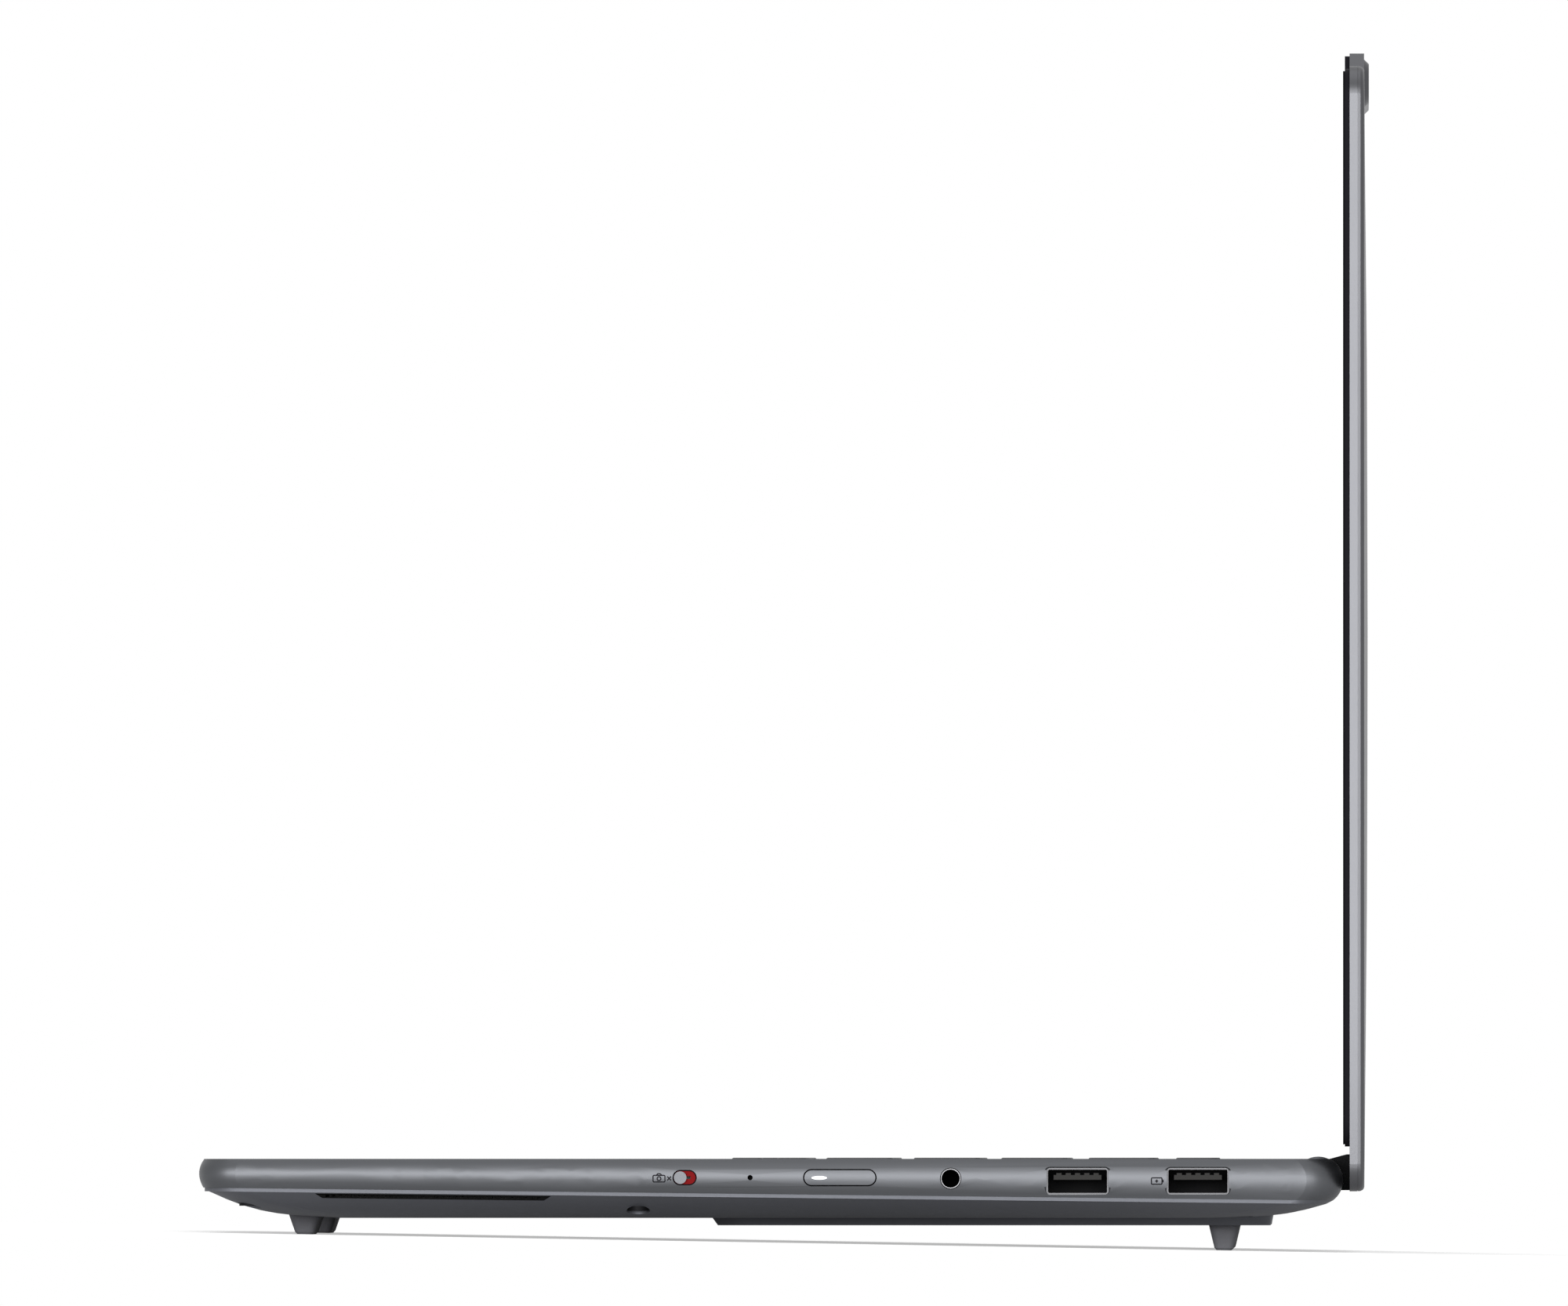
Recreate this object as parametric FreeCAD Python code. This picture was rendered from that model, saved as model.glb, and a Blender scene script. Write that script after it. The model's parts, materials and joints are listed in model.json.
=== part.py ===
import FreeCAD, Part
import os
from math import atan2, cos, degrees, pi, sin, sqrt

V = FreeCAD.Vector

# Every size is in millimetres. The base is drawn with x to the user's right, y to the back and z up from
# the deck, with y = 0 at the base's front edge. The whole part is stood on its feet at the very end.

# Screen, which sets the size of the lid and, through it, that of the base
SCREEN_WIDTH = 344.7
SCREEN_HEIGHT = 215.4
SCREEN_SIDE_BORDER = 4.55
SCREEN_TOP_BORDER = 4.2
SCREEN_CHIN = 19.2
LID_SIDE_INSET = 1.1
LID_FRONT_INSET = 1.0

# Base outline: the side wall bulges between the deck and the sloping line where the two covers part
PLAN_CORNER = 8.0
PARTING_FRONT = 6.27
PARTING_REAR = 9.1
BULGE_TOP = 1.1
BULGE_FOOT = 0.9
CASE_SECTIONS = 5

# Hinge line: the base's rear nose is a round about it, so that the lid can swing from closed to flat
NOSE_RADIUS = 5.5
HINGE_DROP = 4.7
BUMP_RADIUS = 5.2
BARREL_RADIUS = 5.2
TROUGH_GAP = 0.5
BARREL_SIDE = 33.2
BARREL_END_GAP = 0.4
SILL_SETBACK = 2.8

# Top case
DECK_THICKNESS = 1.2
CASE_WALL = 2.8
CAVITY_CORNER = 5.5
KNUCKLE_WALL = 10.5

# Bottom cover: a thin upright rim, then a belly that curves in to a flat underside
RIM_HEIGHT = 0.8
RIM_INSET = 1.2
BELLY_DEPTH = 12.93
BELLY_START = 2.1
BELLY_REACH_FRONT = 30.0
BELLY_REACH_SIDE = 18.0
BELLY_REACH_REAR = 26.0
BELLY_SLOPE = 0.48
BELLY_POWER = 6
BELLY_SECTIONS = 5
COVER_WALL = 1.3

# Raised intake plateau under the rear half, with its vents
PLATEAU_DEPTH = 14.55
PLATEAU_SIDE = 28.0
PLATEAU_FRONT_BACK = 139.0
PLATEAU_REAR_BACK = 15.4
PLATEAU_SLOPE = 2.1
PLATEAU_CORNER = 6.0
VENT_WIDTH = 2.2
VENT_LENGTH = 26.0
VENT_PITCH = 5.0
VENT_COLUMNS = 11
VENT_ROW_GAP = 4.0

# Feet
FRONT_FOOT_Y = 22.55
FRONT_FOOT_DROP = 16.5
FRONT_FOOT_LENGTH = 62.0
FRONT_FOOT_SIDE = 66.0
REAR_FOOT_BACK = 26.1
REAR_FOOT_DROP = 20.03
REAR_FOOT_LENGTH = 272.0
FOOT_TOP_WIDTH = 7.2
FOOT_TIP_WIDTH = 3.2
FOOT_EDGE = 0.5
FOOT_ROUNDING = 0.6

# Bottom screws in counterbored posts: at the corners, halfway along each side, along the front and the rear
SCREW_FRONT_SIDE = 12.0
SCREW_FRONT_Y = 11.0
SCREW_MIDDLE_SIDE = 8.0
SCREW_MIDDLE_BACK = 154.0
SCREW_REAR_SIDE = 21.0
SCREW_REAR_BACK = 22.0
SCREW_FRONT_INNER_X = 56.0
SCREW_FRONT_INNER_Y = 9.0
SCREW_REAR_INNER_X = 38.0
SCREW_REAR_INNER_BACK = 19.0
SCREW_HEAD_RADIUS = 2.3
SCREW_HEAD_HEIGHT = 1.0
SCREW_RADIUS = 1.1
SCREW_LENGTH = 6.0
SCREW_CLEARANCE = 0.25
POST_RADIUS = 3.6
POST_HEIGHT = 3.6
BOSS_RADIUS = 2.6

# Speaker slots in the sides of the bottom cover
SLOT_FRONT = 25.4
SLOT_REAR = 77.0
SLOT_DROP = 1.0
SLOT_HEIGHT = 1.0
SLOT_LEAN = 1.6
GRILLE_PITCH = 1.4
GRILLE_HOLE = 0.8
GRILLE_THICKNESS = 0.7

# Keyboard: rows of keys in a shallow pan, one hole in the pan for each key
KEY_UNIT = 19.05
KEY_GAP = 3.65
KEY_DEPTH = 15.5
FRONT_KEY_DEPTH = 17.0
FUNCTION_KEY_DEPTH = 10.1
KEY_BACK = 26.95
KEY_TOP = 0.25
KEY_HEIGHT = 2.1
KEY_TRAVEL = 1.3
KEY_DRAFT = 0.45
KEY_CORNER = 1.8
KEY_HOLE_GAP = 0.4
HALF_KEY_GAP = 2.2
PAN_DEPTH = 1.1
PAN_FLOOR = 0.8
PAN_MARGIN = 2.0
PAN_CORNER = 3.0
PAN_LEDGE = 1.5
DOME_MAT = 0.25
DOME_RADIUS = 3.0
DOME_TIP_RADIUS = 1.5
KEY_PRESS_GAP = 0.1
KEY_PLATE = 0.5

# Node of each key in a row, from left to right, with the keys' widths in key units
KEY_ROWS = (
    (("modifier_keys", (1.25, 1, 1, 1.25)), ("space_bar", (5.5,)), ("modifier_keys", (1, 1)),
     ("arrow_keys", (1, 1, 1))),
    (("left_shift_key", (2.25,)), ("lower_letter_keys", (1,) * 10), ("right_shift_key", (2.75,))),
    (("caps_lock_key", (1.75,)), ("home_letter_keys", (1,) * 11), ("enter_key", (2.25,))),
    (("tab_key", (1.5,)), ("upper_letter_keys", (1,) * 12 + (1.5,))),
    (("number_keys", (1,) * 13), ("backspace_key", (2,))),
    (("function_keys", (1,) * 15),),
)

# Touchpad, which rocks on a bead along its rear edge
PAD_WIDTH = 135.0
PAD_FRONT = 19.0
PAD_TO_KEYS = 12.7
PAD_CORNER = 3.0
PAD_SET = 0.1
PAD_THICKNESS = 1.3
PAD_GAP = 0.3
PAD_BEAD_RADIUS = 0.9
PAD_BEAD_DROP = 2.7
PAD_BEAD_SETBACK = 3.0
PAD_BEAD_GAP = 0.05
PAD_CLICK = 0.35
PAD_FRAME_WALL = 2.0
PAD_FRAME_FLOOR = 0.6
PAD_FRAME_DEPTH = 4.4
PAD_BUTTON_RADIUS = 3.0

# Controls in the right-hand wall, each placed from the back edge, on a line below the deck
CONTROL_DROP = 4.1
SHUTTER_BACK = 143.8
SHUTTER_LENGTH = 5.3
SHUTTER_HEIGHT = 3.36
SHUTTER_KNOB_RADIUS = 1.37
SHUTTER_TRAVEL = 1.95
SHUTTER_SET = 1.0
SHUTTER_STEM = 0.5
SHUTTER_CARRIER = 2.4
RESET_BACK = 129.5
RESET_HOLE_RADIUS = 0.575
RESET_PIN_RADIUS = 0.8
RESET_TRAVEL = 0.3
POWER_BACK = 109.9
POWER_LENGTH = 15.5
POWER_HEIGHT = 3.2
POWER_GAP = 0.3
POWER_TRAVEL = 0.5
POWER_SET = 0.1
CONTROL_FLANGE = 1.2
CONTROL_FLANGE_LIP = 1.0
CONTROL_BACK_GAP = 0.6
SLIDE_GAP = 0.05

# Ports, placed from the back edge: flat sockets and audio on the right, video and oval sockets on the left
PORT_DROP = 4.9
PORT_LENGTH = 14.0
PORT_RECESS = 0.7
PORT_GAP = 0.1
PORT_FLARE = 0.25
PORT_SHELL = 0.2
PORT_BACK = 1.2
PORT_CORNER = 0.5
TYPE_A_BACKS = (58.0, 31.7)
TYPE_A_WIDTH = 12.9
TYPE_A_HEIGHT = 5.1
TYPE_A_TONGUE_WIDTH = 10.5
TYPE_A_TONGUE_TOP = 1.15
TYPE_A_TONGUE = 1.1
TONGUE_SETBACK = 1.0
TYPE_A_CONTACTS = 5
CONTACT_PITCH = 2.0
CONTACT_WIDTH = 0.9
CONTACT_RISE = 0.25
CONTACT_LENGTH = 7.0
TYPE_C_BACKS = (87.0, 68.0)
TYPE_C_WIDTH = 8.34
TYPE_C_HEIGHT = 2.56
TYPE_C_TONGUE_WIDTH = 6.7
TYPE_C_TONGUE = 0.7
VIDEO_BACK = 45.0
VIDEO_WIDTH = 14.0
VIDEO_HEIGHT = 4.55
VIDEO_CHAMFER = 1.6
VIDEO_TONGUE_WIDTH = 11.2
VIDEO_TONGUE = 1.2
JACK_BACK = 85.7
JACK_DROP = 4.3
JACK_BORE = 1.85
JACK_BORE_LENGTH = 13.0
JACK_NOSE_RADIUS = 2.2
JACK_BODY = 6.2
JACK_HOLE_GAP = 0.15

# Port boards, one along each side
SIDE_BOARD_WIDTH = 18.0
SIDE_BOARD_FRONT_BACK = 149.0
SIDE_BOARD_REAR_BACK = 27.5
SIDE_BOARD_LEFT_BACK = 100.0
BOARD_THICKNESS = 1.0
BOARD_CORNER = 2.0
BOARD_STAND_RADIUS = 2.2
BOARD_STAND_INSET = 5.0

# Cooling: fans, fins, heat pipes and the spreader under the processor
FAN_X = 105.0
FAN_BACK = 55.0
FAN_RADIUS = 30.0
FAN_GAP = 1.5
FAN_SHELL = 0.8
FAN_BOTTOM = 10.5
FAN_HUB_RADIUS = 12.0
BLADE_ROOT = 1.0
FAN_BLADES = 23
FAN_BLADE = 0.8
FAN_BLADE_LEAN = 28.0
FAN_CLEARANCE = 0.5
FAN_INLET_RADIUS = 20.0
SPINDLE_RADIUS = 1.5
SPINDLE_GAP = 0.05
FIN_DEPTH = 7.0
FIN_PITCH = 2.4
FIN_SLOT = 1.8
FIN_PIPE_GAP = 0.2
PIPE_WIDTH = 6.6
PIPE_HEIGHT = 2.0
PIPE_BEND = 9.0
SPREADER_WIDTH = 62.0
SPREADER_DEPTH = 44.0
SPREADER_THICKNESS = 0.8
PROCESSOR_WIDTH = 40.0
PROCESSOR_DEPTH = 26.0
PROCESSOR_THICKNESS = 1.0
PROCESSOR_BACK = 64.0
VENT_GRILLE_THICKNESS = 1.2
VENT_GRILLE_SETBACK = 1.0
VENT_GRILLE_PITCH = 4.0
VENT_GRILLE_BAR = 1.4
VENT_GRILLE_MARGIN = 1.4

# Mainboard and what is on it
MAINBOARD_HALF_WIDTH = 68.0
MAINBOARD_FRONT_BACK = 131.0
MAINBOARD_REAR_BACK = 24.0
MEMORY_CHIP = (11.0, 9.0, 0.9)
MEMORY_PITCH = 13.5
MEMORY_BACK = 91.0
MEMORY_CHIPS = 6
DRIVE_LENGTH = 80.0
CARD_LENGTH = 30.0
CARD_WIDTH = 22.0
CARD_THICKNESS = 1.4
CARD_BACK = 118.0
CARD_SOCKET = 4.0

# Battery and speakers in the front half
BATTERY_SIDE_GAP = 6.0
BATTERY_FRONT = 34.0
BATTERY_REAR_GAP = 3.0
BATTERY_TOP = 4.8
BATTERY_CORNER = 2.0
BATTERY_CELLS = 4
CELL_GAP = 2.0
CELL_STEP = 1.0
SPEAKER_SIDE = 12.0
SPEAKER_WIDTH = 52.0
SPEAKER_FRONT = 27.0
SPEAKER_BOARD_GAP = 17.0
SPEAKER_CORNER = 3.0
SPEAKER_BOTTOM = 9.6
SPEAKER_CONE_RADIUS = 14.0
SPEAKER_CONE_DEPTH = 1.5

# Hinge hardware
HINGE_SHAFT_RADIUS = 1.8
HINGE_RUN_GAP = 0.05
HINGE_BARREL_RADIUS = 3.6
HINGE_SEAT_GAP = 0.08
HINGE_BARREL_LENGTH = 17.0
BRACKET_WIDTH = 12.0
BRACKET_BACK = 18.5
BRACKET_THICKNESS = 2.0
BRACKET_RISE = 1.0
LEVER_LENGTH = 17.0
LEVER_HEIGHT = 2.0
LEAF_WIDTH = 30.0
LEAF_TOP = 11.0
LEAF_CORNER = 1.5

# Lid, as it stands upright: its bezel face, then the rim of the back cover, then the crowned back
LID_DROP = 7.1
LID_CORNER = 6.0
BEZEL_THICKNESS = 1.05
GASKET_THICKNESS = 0.4
LID_EDGE = 1.7
LID_GROOVE = 0.15
LID_ROUND_RISE = 1.5
LID_ROUND_RUN = 1.0
LID_ROUND_STEPS = 4
LID_CROWN = 0.8
CROWN_DEGREE = 4
LID_POCKET_DEPTH = 2.05
LID_POCKET_WALL = 1.2
TAB_HALF_WIDTH = 54.0
TAB_RISE = 5.0
TAB_FLANK = 6.0
CAMERA_BAR_HALF_WIDTH = 50.0
CAMERA_BAR_HEIGHT = 10.6
CAMERA_BAR_THICKNESS = 1.05
CAMERA_BAR_SLOPE = 1.0
CAMERA_BAR_TOP_GAP = 1.3
CAMERA_BAR_CORNER = 3.0

# Bezel, gasket, panel and camera
BEZEL_EDGE = 0.6
BEZEL_FOOT = 2.74
GASKET_WIDTH = 1.3
GASKET_EDGE = 0.5
PANEL_THICKNESS = 1.85
PANEL_BORDER = 1.6
PANEL_CHIN = 4.6
CAMERA_RADIUS = 1.5
CAMERA_HOLE_GAP = 0.4
CAMERA_MODULE_HALF_WIDTH = 22.0
CAMERA_MODULE_MARGIN = 0.3
LENS_STAND = 0.6

# Hinge cover between the barrel and the lid
WEB_TOP = 1.0
WEB_FOOT = 6.87
WEB_NECK = 2.5
WEB_SETBACK = 0.7
COVER_SEAT_GAP = 0.1

# Display cable from the panel's lower edge into the hinge cover
CABLE_X = 88.0
CABLE_WIDTH = 18.0
CABLE_THICKNESS = 0.4
CABLE_DROP = 4.0
CABLE_GAP = 0.15

# Values that follow from those above
SCREEN_FOOT = SCREEN_CHIN
SCREEN_TOP = SCREEN_FOOT + SCREEN_HEIGHT
LID_TOP = SCREEN_TOP + SCREEN_TOP_BORDER
LID_HALF = SCREEN_WIDTH / 2 + SCREEN_SIDE_BORDER
HALF_WIDTH = LID_HALF + LID_SIDE_INSET
DEPTH = LID_FRONT_INSET + LID_TOP + HINGE_DROP + NOSE_RADIUS

HINGE_Y = DEPTH - NOSE_RADIUS
HINGE_Z = -HINGE_DROP
BARREL_HALF_LENGTH = HALF_WIDTH - BARREL_SIDE
TROUGH_RADIUS = BARREL_RADIUS + TROUGH_GAP
TROUGH_HALF_LENGTH = BARREL_HALF_LENGTH + BARREL_END_GAP
TROUGH_FRONT = HINGE_Y - TROUGH_RADIUS
CAVITY_REAR = HINGE_Y - KNUCKLE_WALL
WALL_INNER = HALF_WIDTH - CASE_WALL
FAR = 60.0
OVERCUT = 1.0

LID_FACE = HINGE_Y + NOSE_RADIUS
BEZEL_FACE = LID_FACE + GASKET_THICKNESS
LID_INNER = BEZEL_FACE + BEZEL_THICKNESS
LID_RIM = LID_INNER + LID_EDGE + LID_ROUND_RISE

PLATEAU_HALF_WIDTH = HALF_WIDTH - PLATEAU_SIDE
PLATEAU_FRONT = DEPTH - PLATEAU_FRONT_BACK
PLATEAU_REAR = DEPTH - PLATEAU_REAR_BACK
FRONT_FOOT_X = HALF_WIDTH - FRONT_FOOT_SIDE
REAR_FOOT_Y = DEPTH - REAR_FOOT_BACK
SCREW_PLACES = (
    (HALF_WIDTH - SCREW_FRONT_SIDE, SCREW_FRONT_Y),
    (HALF_WIDTH - SCREW_MIDDLE_SIDE, DEPTH - SCREW_MIDDLE_BACK),
    (HALF_WIDTH - SCREW_REAR_SIDE, DEPTH - SCREW_REAR_BACK),
    (SCREW_FRONT_INNER_X, SCREW_FRONT_INNER_Y),
    (SCREW_REAR_INNER_X, DEPTH - SCREW_REAR_INNER_BACK),
)

SHUTTER_Y = DEPTH - SHUTTER_BACK
RESET_Y = DEPTH - RESET_BACK
POWER_Y = DEPTH - POWER_BACK
JACK_Y = DEPTH - JACK_BACK
VIDEO_Y = DEPTH - VIDEO_BACK
TYPE_A_PLACES = [DEPTH - back for back in TYPE_A_BACKS]
TYPE_C_PLACES = [DEPTH - back for back in TYPE_C_BACKS]
SIDE_BOARD_FRONT = DEPTH - SIDE_BOARD_FRONT_BACK
SIDE_BOARD_LEFT_FRONT = DEPTH - SIDE_BOARD_LEFT_BACK
SIDE_BOARD_REAR = DEPTH - SIDE_BOARD_REAR_BACK
CONTROL_Z = -CONTROL_DROP
PORT_Z = -PORT_DROP
JACK_Z = -JACK_DROP
CONTROL_BACK = WALL_INNER - CONTROL_BACK_GAP - CONTROL_FLANGE
PORT_MOUTH = HALF_WIDTH - PORT_RECESS
PORT_INNER = PORT_MOUTH - PORT_LENGTH
SIDE_BOARD_TOP = PORT_Z - TYPE_A_HEIGHT / 2 - PORT_SHELL
SIDE_BOARD_OUTER = CONTROL_BACK - POWER_TRAVEL - SLIDE_GAP

KEY_ROWS_DEPTH = (FRONT_KEY_DEPTH + (len(KEY_ROWS) - 2) * KEY_DEPTH + FUNCTION_KEY_DEPTH
                  + (len(KEY_ROWS) - 1) * KEY_GAP)
KEY_ROW_FRONT = DEPTH - KEY_BACK - KEY_ROWS_DEPTH
PAD_REAR = KEY_ROW_FRONT - PAD_TO_KEYS
KEY_FOOT = KEY_TOP - KEY_HEIGHT
DOME_SHEET_TOP = KEY_FOOT - KEY_TRAVEL - KEY_PRESS_GAP
KEY_PLATE_TOP = DOME_SHEET_TOP - DOME_MAT
KEY_PLATE_FOOT = KEY_PLATE_TOP - KEY_PLATE
FAN_TOP = -KEY_PLATE_FOOT
COVER_FLOOR = COVER_WALL - BELLY_DEPTH

FAN_Y = DEPTH - FAN_BACK
PROCESSOR_Y = DEPTH - PROCESSOR_BACK
MAINBOARD_FRONT = DEPTH - MAINBOARD_FRONT_BACK
MAINBOARD_REAR = DEPTH - MAINBOARD_REAR_BACK
MEMORY_Y = DEPTH - MEMORY_BACK
CARD_Y = DEPTH - CARD_BACK
BRACKET_FRONT = DEPTH - BRACKET_BACK
SPEAKER_OUTER = HALF_WIDTH - SPEAKER_SIDE
SPEAKER_INNER = SPEAKER_OUTER - SPEAKER_WIDTH
SPEAKER_REAR = SIDE_BOARD_FRONT - SPEAKER_BOARD_GAP
BATTERY_HALF_WIDTH = SPEAKER_INNER - BATTERY_SIDE_GAP
BATTERY_REAR = PLATEAU_FRONT - BATTERY_REAR_GAP

PIPE_TOP = PIPE_HEIGHT - FAN_BOTTOM
SPREADER_TOP = PIPE_TOP + SPREADER_THICKNESS
PROCESSOR_TOP = SPREADER_TOP + PROCESSOR_THICKNESS
MAINBOARD_FOOT = PROCESSOR_TOP
FAN_WALL_RADIUS = FAN_RADIUS + FAN_GAP
FAN_REAR = FAN_Y + FAN_WALL_RADIUS + FAN_SHELL
FIN_FRONT = FAN_REAR
FIN_REAR = FIN_FRONT + FIN_DEPTH

PAD_BEAD_Y = PAD_REAR - PAD_BEAD_SETBACK
PAD_FOOT = -PAD_SET - PAD_THICKNESS

RAKE = atan2(REAR_FOOT_DROP - FRONT_FOOT_DROP, REAR_FOOT_Y - FRONT_FOOT_Y)

parts = {}


# Shapes that several pieces share

def outline(u0, u1, v0, v1, radius, at):
    """Closed wire of a rectangle with round corners; at(u, v) puts each of its points in space."""
    inset = radius * (1 - sqrt(0.5))
    ring = (
        ((u0 + radius, v0), (u1 - radius, v0), (u1 - inset, v0 + inset)),
        ((u1, v0 + radius), (u1, v1 - radius), (u1 - inset, v1 - inset)),
        ((u1 - radius, v1), (u0 + radius, v1), (u0 + inset, v1 - inset)),
        ((u0, v1 - radius), (u0, v0 + radius), (u0 + inset, v0 + inset)),
    )
    edges = []
    for side, (start, end, middle) in enumerate(ring):
        after = ring[(side + 1) % len(ring)][0]
        if at(*start).distanceToPoint(at(*end)) > 1e-6:
            edges.append(Part.makeLine(at(*start), at(*end)))
        if radius > 0:
            edges.append(Part.Arc(at(*end), at(*middle), at(*after)).toShape())
    return Part.Wire(edges)


def block(x0, x1, y0, y1, z0, z1):
    """Box between two opposite corners."""
    return Part.makeBox(x1 - x0, y1 - y0, z1 - z0, V(x0, y0, z0))


def plate(x0, x1, y0, y1, radius, z0, z1):
    """Flat plate with round corners, level with the deck."""
    wire = outline(x0, x1, y0, y1, radius, lambda x, y: V(x, y, z0))
    return Part.Face(wire).extrude(V(0, 0, z1 - z0))


def panel(x0, x1, z0, z1, radius, y0, y1):
    """Flat plate with round corners, standing in the plane of the lid."""
    wire = outline(x0, x1, z0, z1, radius, lambda x, z: V(x, y0, z))
    return Part.Face(wire).extrude(V(0, y1 - y0, 0))


def plug(y, z, length, height, radius, x0, x1):
    """Bar along x with a rounded rectangular section about (y, z)."""
    wire = outline(y - length / 2, y + length / 2, z - height / 2, z + height / 2, radius,
                   lambda across, up: V(x0, across, up))
    return Part.Face(wire).extrude(V(x1 - x0, 0, 0))


def rod(y, z, radius, x0, x1):
    """Round bar along x."""
    return Part.makeCylinder(radius, x1 - x0, V(x0, y, z), V(1, 0, 0))


def profile(points, x0, x1):
    """Prism along x over a polygon of (y, z) points."""
    wire = Part.makePolygon([V(x0, y, z) for y, z in points + points[:1]])
    return Part.Face(wire).extrude(V(x1 - x0, 0, 0))


def loft(wires, ruled=False):
    """Solid through closed wires, smooth unless ruled."""
    return Part.makeLoft(wires, True, ruled)


def mirrored(shape):
    """The same shape on the other side of the middle plane."""
    return shape.mirror(V(0, 0, 0), V(1, 0, 0))


def both_sides(shapes):
    """Shapes and their mirror images."""
    return shapes + [mirrored(shape) for shape in shapes]


# Base outlines

def parting(y):
    """Depth below the deck of the plane where the two covers part."""
    return PARTING_FRONT + (PARTING_REAR - PARTING_FRONT) * y / DEPTH


def nose(z):
    """How far back the round nose reaches at a height."""
    return HINGE_Y + sqrt(NOSE_RADIUS ** 2 - (z - HINGE_Z) ** 2)


def case_section(share):
    """Outline of the top case at a share of the way from the deck down to the parting plane."""
    bulge = (BULGE_TOP if share < 0.5 else BULGE_FOOT) * (1 - 2 * share) ** 2
    return outline(bulge - HALF_WIDTH, HALF_WIDTH - bulge, bulge, nose(-share * PARTING_REAR), PLAN_CORNER,
                   lambda x, y: V(x, y, -share * parting(y)))


def rim_section(share, inset, rise=0.0):
    """Outline of the bottom cover's rim at a share of the rim's height, or above it."""
    rear = nose(-PARTING_REAR - share * RIM_HEIGHT) - inset + RIM_INSET
    return outline(inset - HALF_WIDTH, HALF_WIDTH - inset, inset, rear, PLAN_CORNER,
                   lambda x, y: V(x, y, rise - parting(y) - share * RIM_HEIGHT))


def belly_section(share, skin):
    """Outline of the belly at a share of the way from the rim to the flat, moved inwards by a skin."""
    curve = BELLY_SLOPE * share + (1 - BELLY_SLOPE) * share ** BELLY_POWER
    inward = BELLY_START + skin * (1 - share / 2)
    front = inward + (BELLY_REACH_FRONT - BELLY_START) * curve
    side = inward + (BELLY_REACH_SIDE - BELLY_START) * curve
    rim_rear = nose(-PARTING_REAR - RIM_HEIGHT)
    rear = rim_rear - inward + BELLY_START - (BELLY_REACH_REAR - DEPTH + rim_rear) * curve
    corner = PLAN_CORNER + BELLY_REACH_SIDE * curve / 2

    def height(y):
        return skin * share - (1 - share) * (parting(y) + RIM_HEIGHT) - share * BELLY_DEPTH

    return outline(side - HALF_WIDTH, HALF_WIDTH - side, front, rear, corner, lambda x, y: V(x, y, height(y)))


def belly(skin):
    """Solid of the belly from the rim's foot down to the flat, with sections closer together near the flat."""
    turns = [pi / 2 * step / (BELLY_SECTIONS - 1) for step in range(BELLY_SECTIONS)]
    return loft([belly_section(sin(turn), skin) for turn in turns])


def plateau_outline(slope, depth):
    """Outline of the intake plateau, drawn in by a slope, at a depth."""
    return outline(slope - PLATEAU_HALF_WIDTH, PLATEAU_HALF_WIDTH - slope, PLATEAU_FRONT + slope,
                   PLATEAU_REAR - slope / 4, PLATEAU_CORNER, lambda x, y: V(x, y, -depth))


def trough():
    """Space that the hinge cover turns in, open to the top and to the rear."""
    reach = TROUGH_HALF_LENGTH
    turning = rod(HINGE_Y, HINGE_Z, TROUGH_RADIUS, -reach, reach)
    upper = block(-reach, reach, TROUGH_FRONT, HINGE_Y + FAR, HINGE_Z, FAR)
    lower = block(-reach, reach, HINGE_Y - SILL_SETBACK, HINGE_Y + FAR, -FAR, HINGE_Z)
    return [turning, upper, lower]


def throat(top):
    """Way out for the warm air, from the inside to the trough."""
    return block(-TROUGH_HALF_LENGTH, TROUGH_HALF_LENGTH, CAVITY_REAR - OVERCUT, TROUGH_FRONT, -FAR, top)


# Bottom cover form

cover_form = loft([rim_section(0, RIM_INSET), rim_section(1, RIM_INSET)], ruled=True).fuse(belly(0))
plateau_rings = [plateau_outline(0, -COVER_FLOOR), plateau_outline(PLATEAU_SLOPE, PLATEAU_DEPTH)]
plateau_form = loft(plateau_rings, ruled=True)
cover_form = cover_form.fuse(plateau_form).removeSplitter()

cover_skin = BELLY_START + COVER_WALL
cover_cavity = belly(COVER_WALL).fuse(
    loft([rim_section(0, cover_skin, RIM_HEIGHT), rim_section(1, cover_skin)], ruled=True))
plateau_pocket = plate(
    PLATEAU_SLOPE + COVER_WALL - PLATEAU_HALF_WIDTH, PLATEAU_HALF_WIDTH - PLATEAU_SLOPE - COVER_WALL,
    PLATEAU_FRONT + PLATEAU_SLOPE + COVER_WALL, PLATEAU_REAR - PLATEAU_SLOPE - COVER_WALL, PLATEAU_CORNER,
    COVER_WALL - PLATEAU_DEPTH, COVER_WALL - BELLY_DEPTH + OVERCUT)
cover_inside = [
    cover_cavity.common(block(-HALF_WIDTH, HALF_WIDTH, 0, CAVITY_REAR, -FAR, FAR)),
    cover_cavity.common(throat(FAR)),
    plateau_pocket,
]


def underside(x, y):
    """Height of the bottom cover's outer face at a place."""
    return cover_form.common(Part.makeLine(V(x, y, -FAR), V(x, y, -PARTING_FRONT))).BoundBox.ZMin


screw_places = [(side * x, y, underside(x, y)) for x, y in SCREW_PLACES for side in (1, -1)]


# Key places

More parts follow.
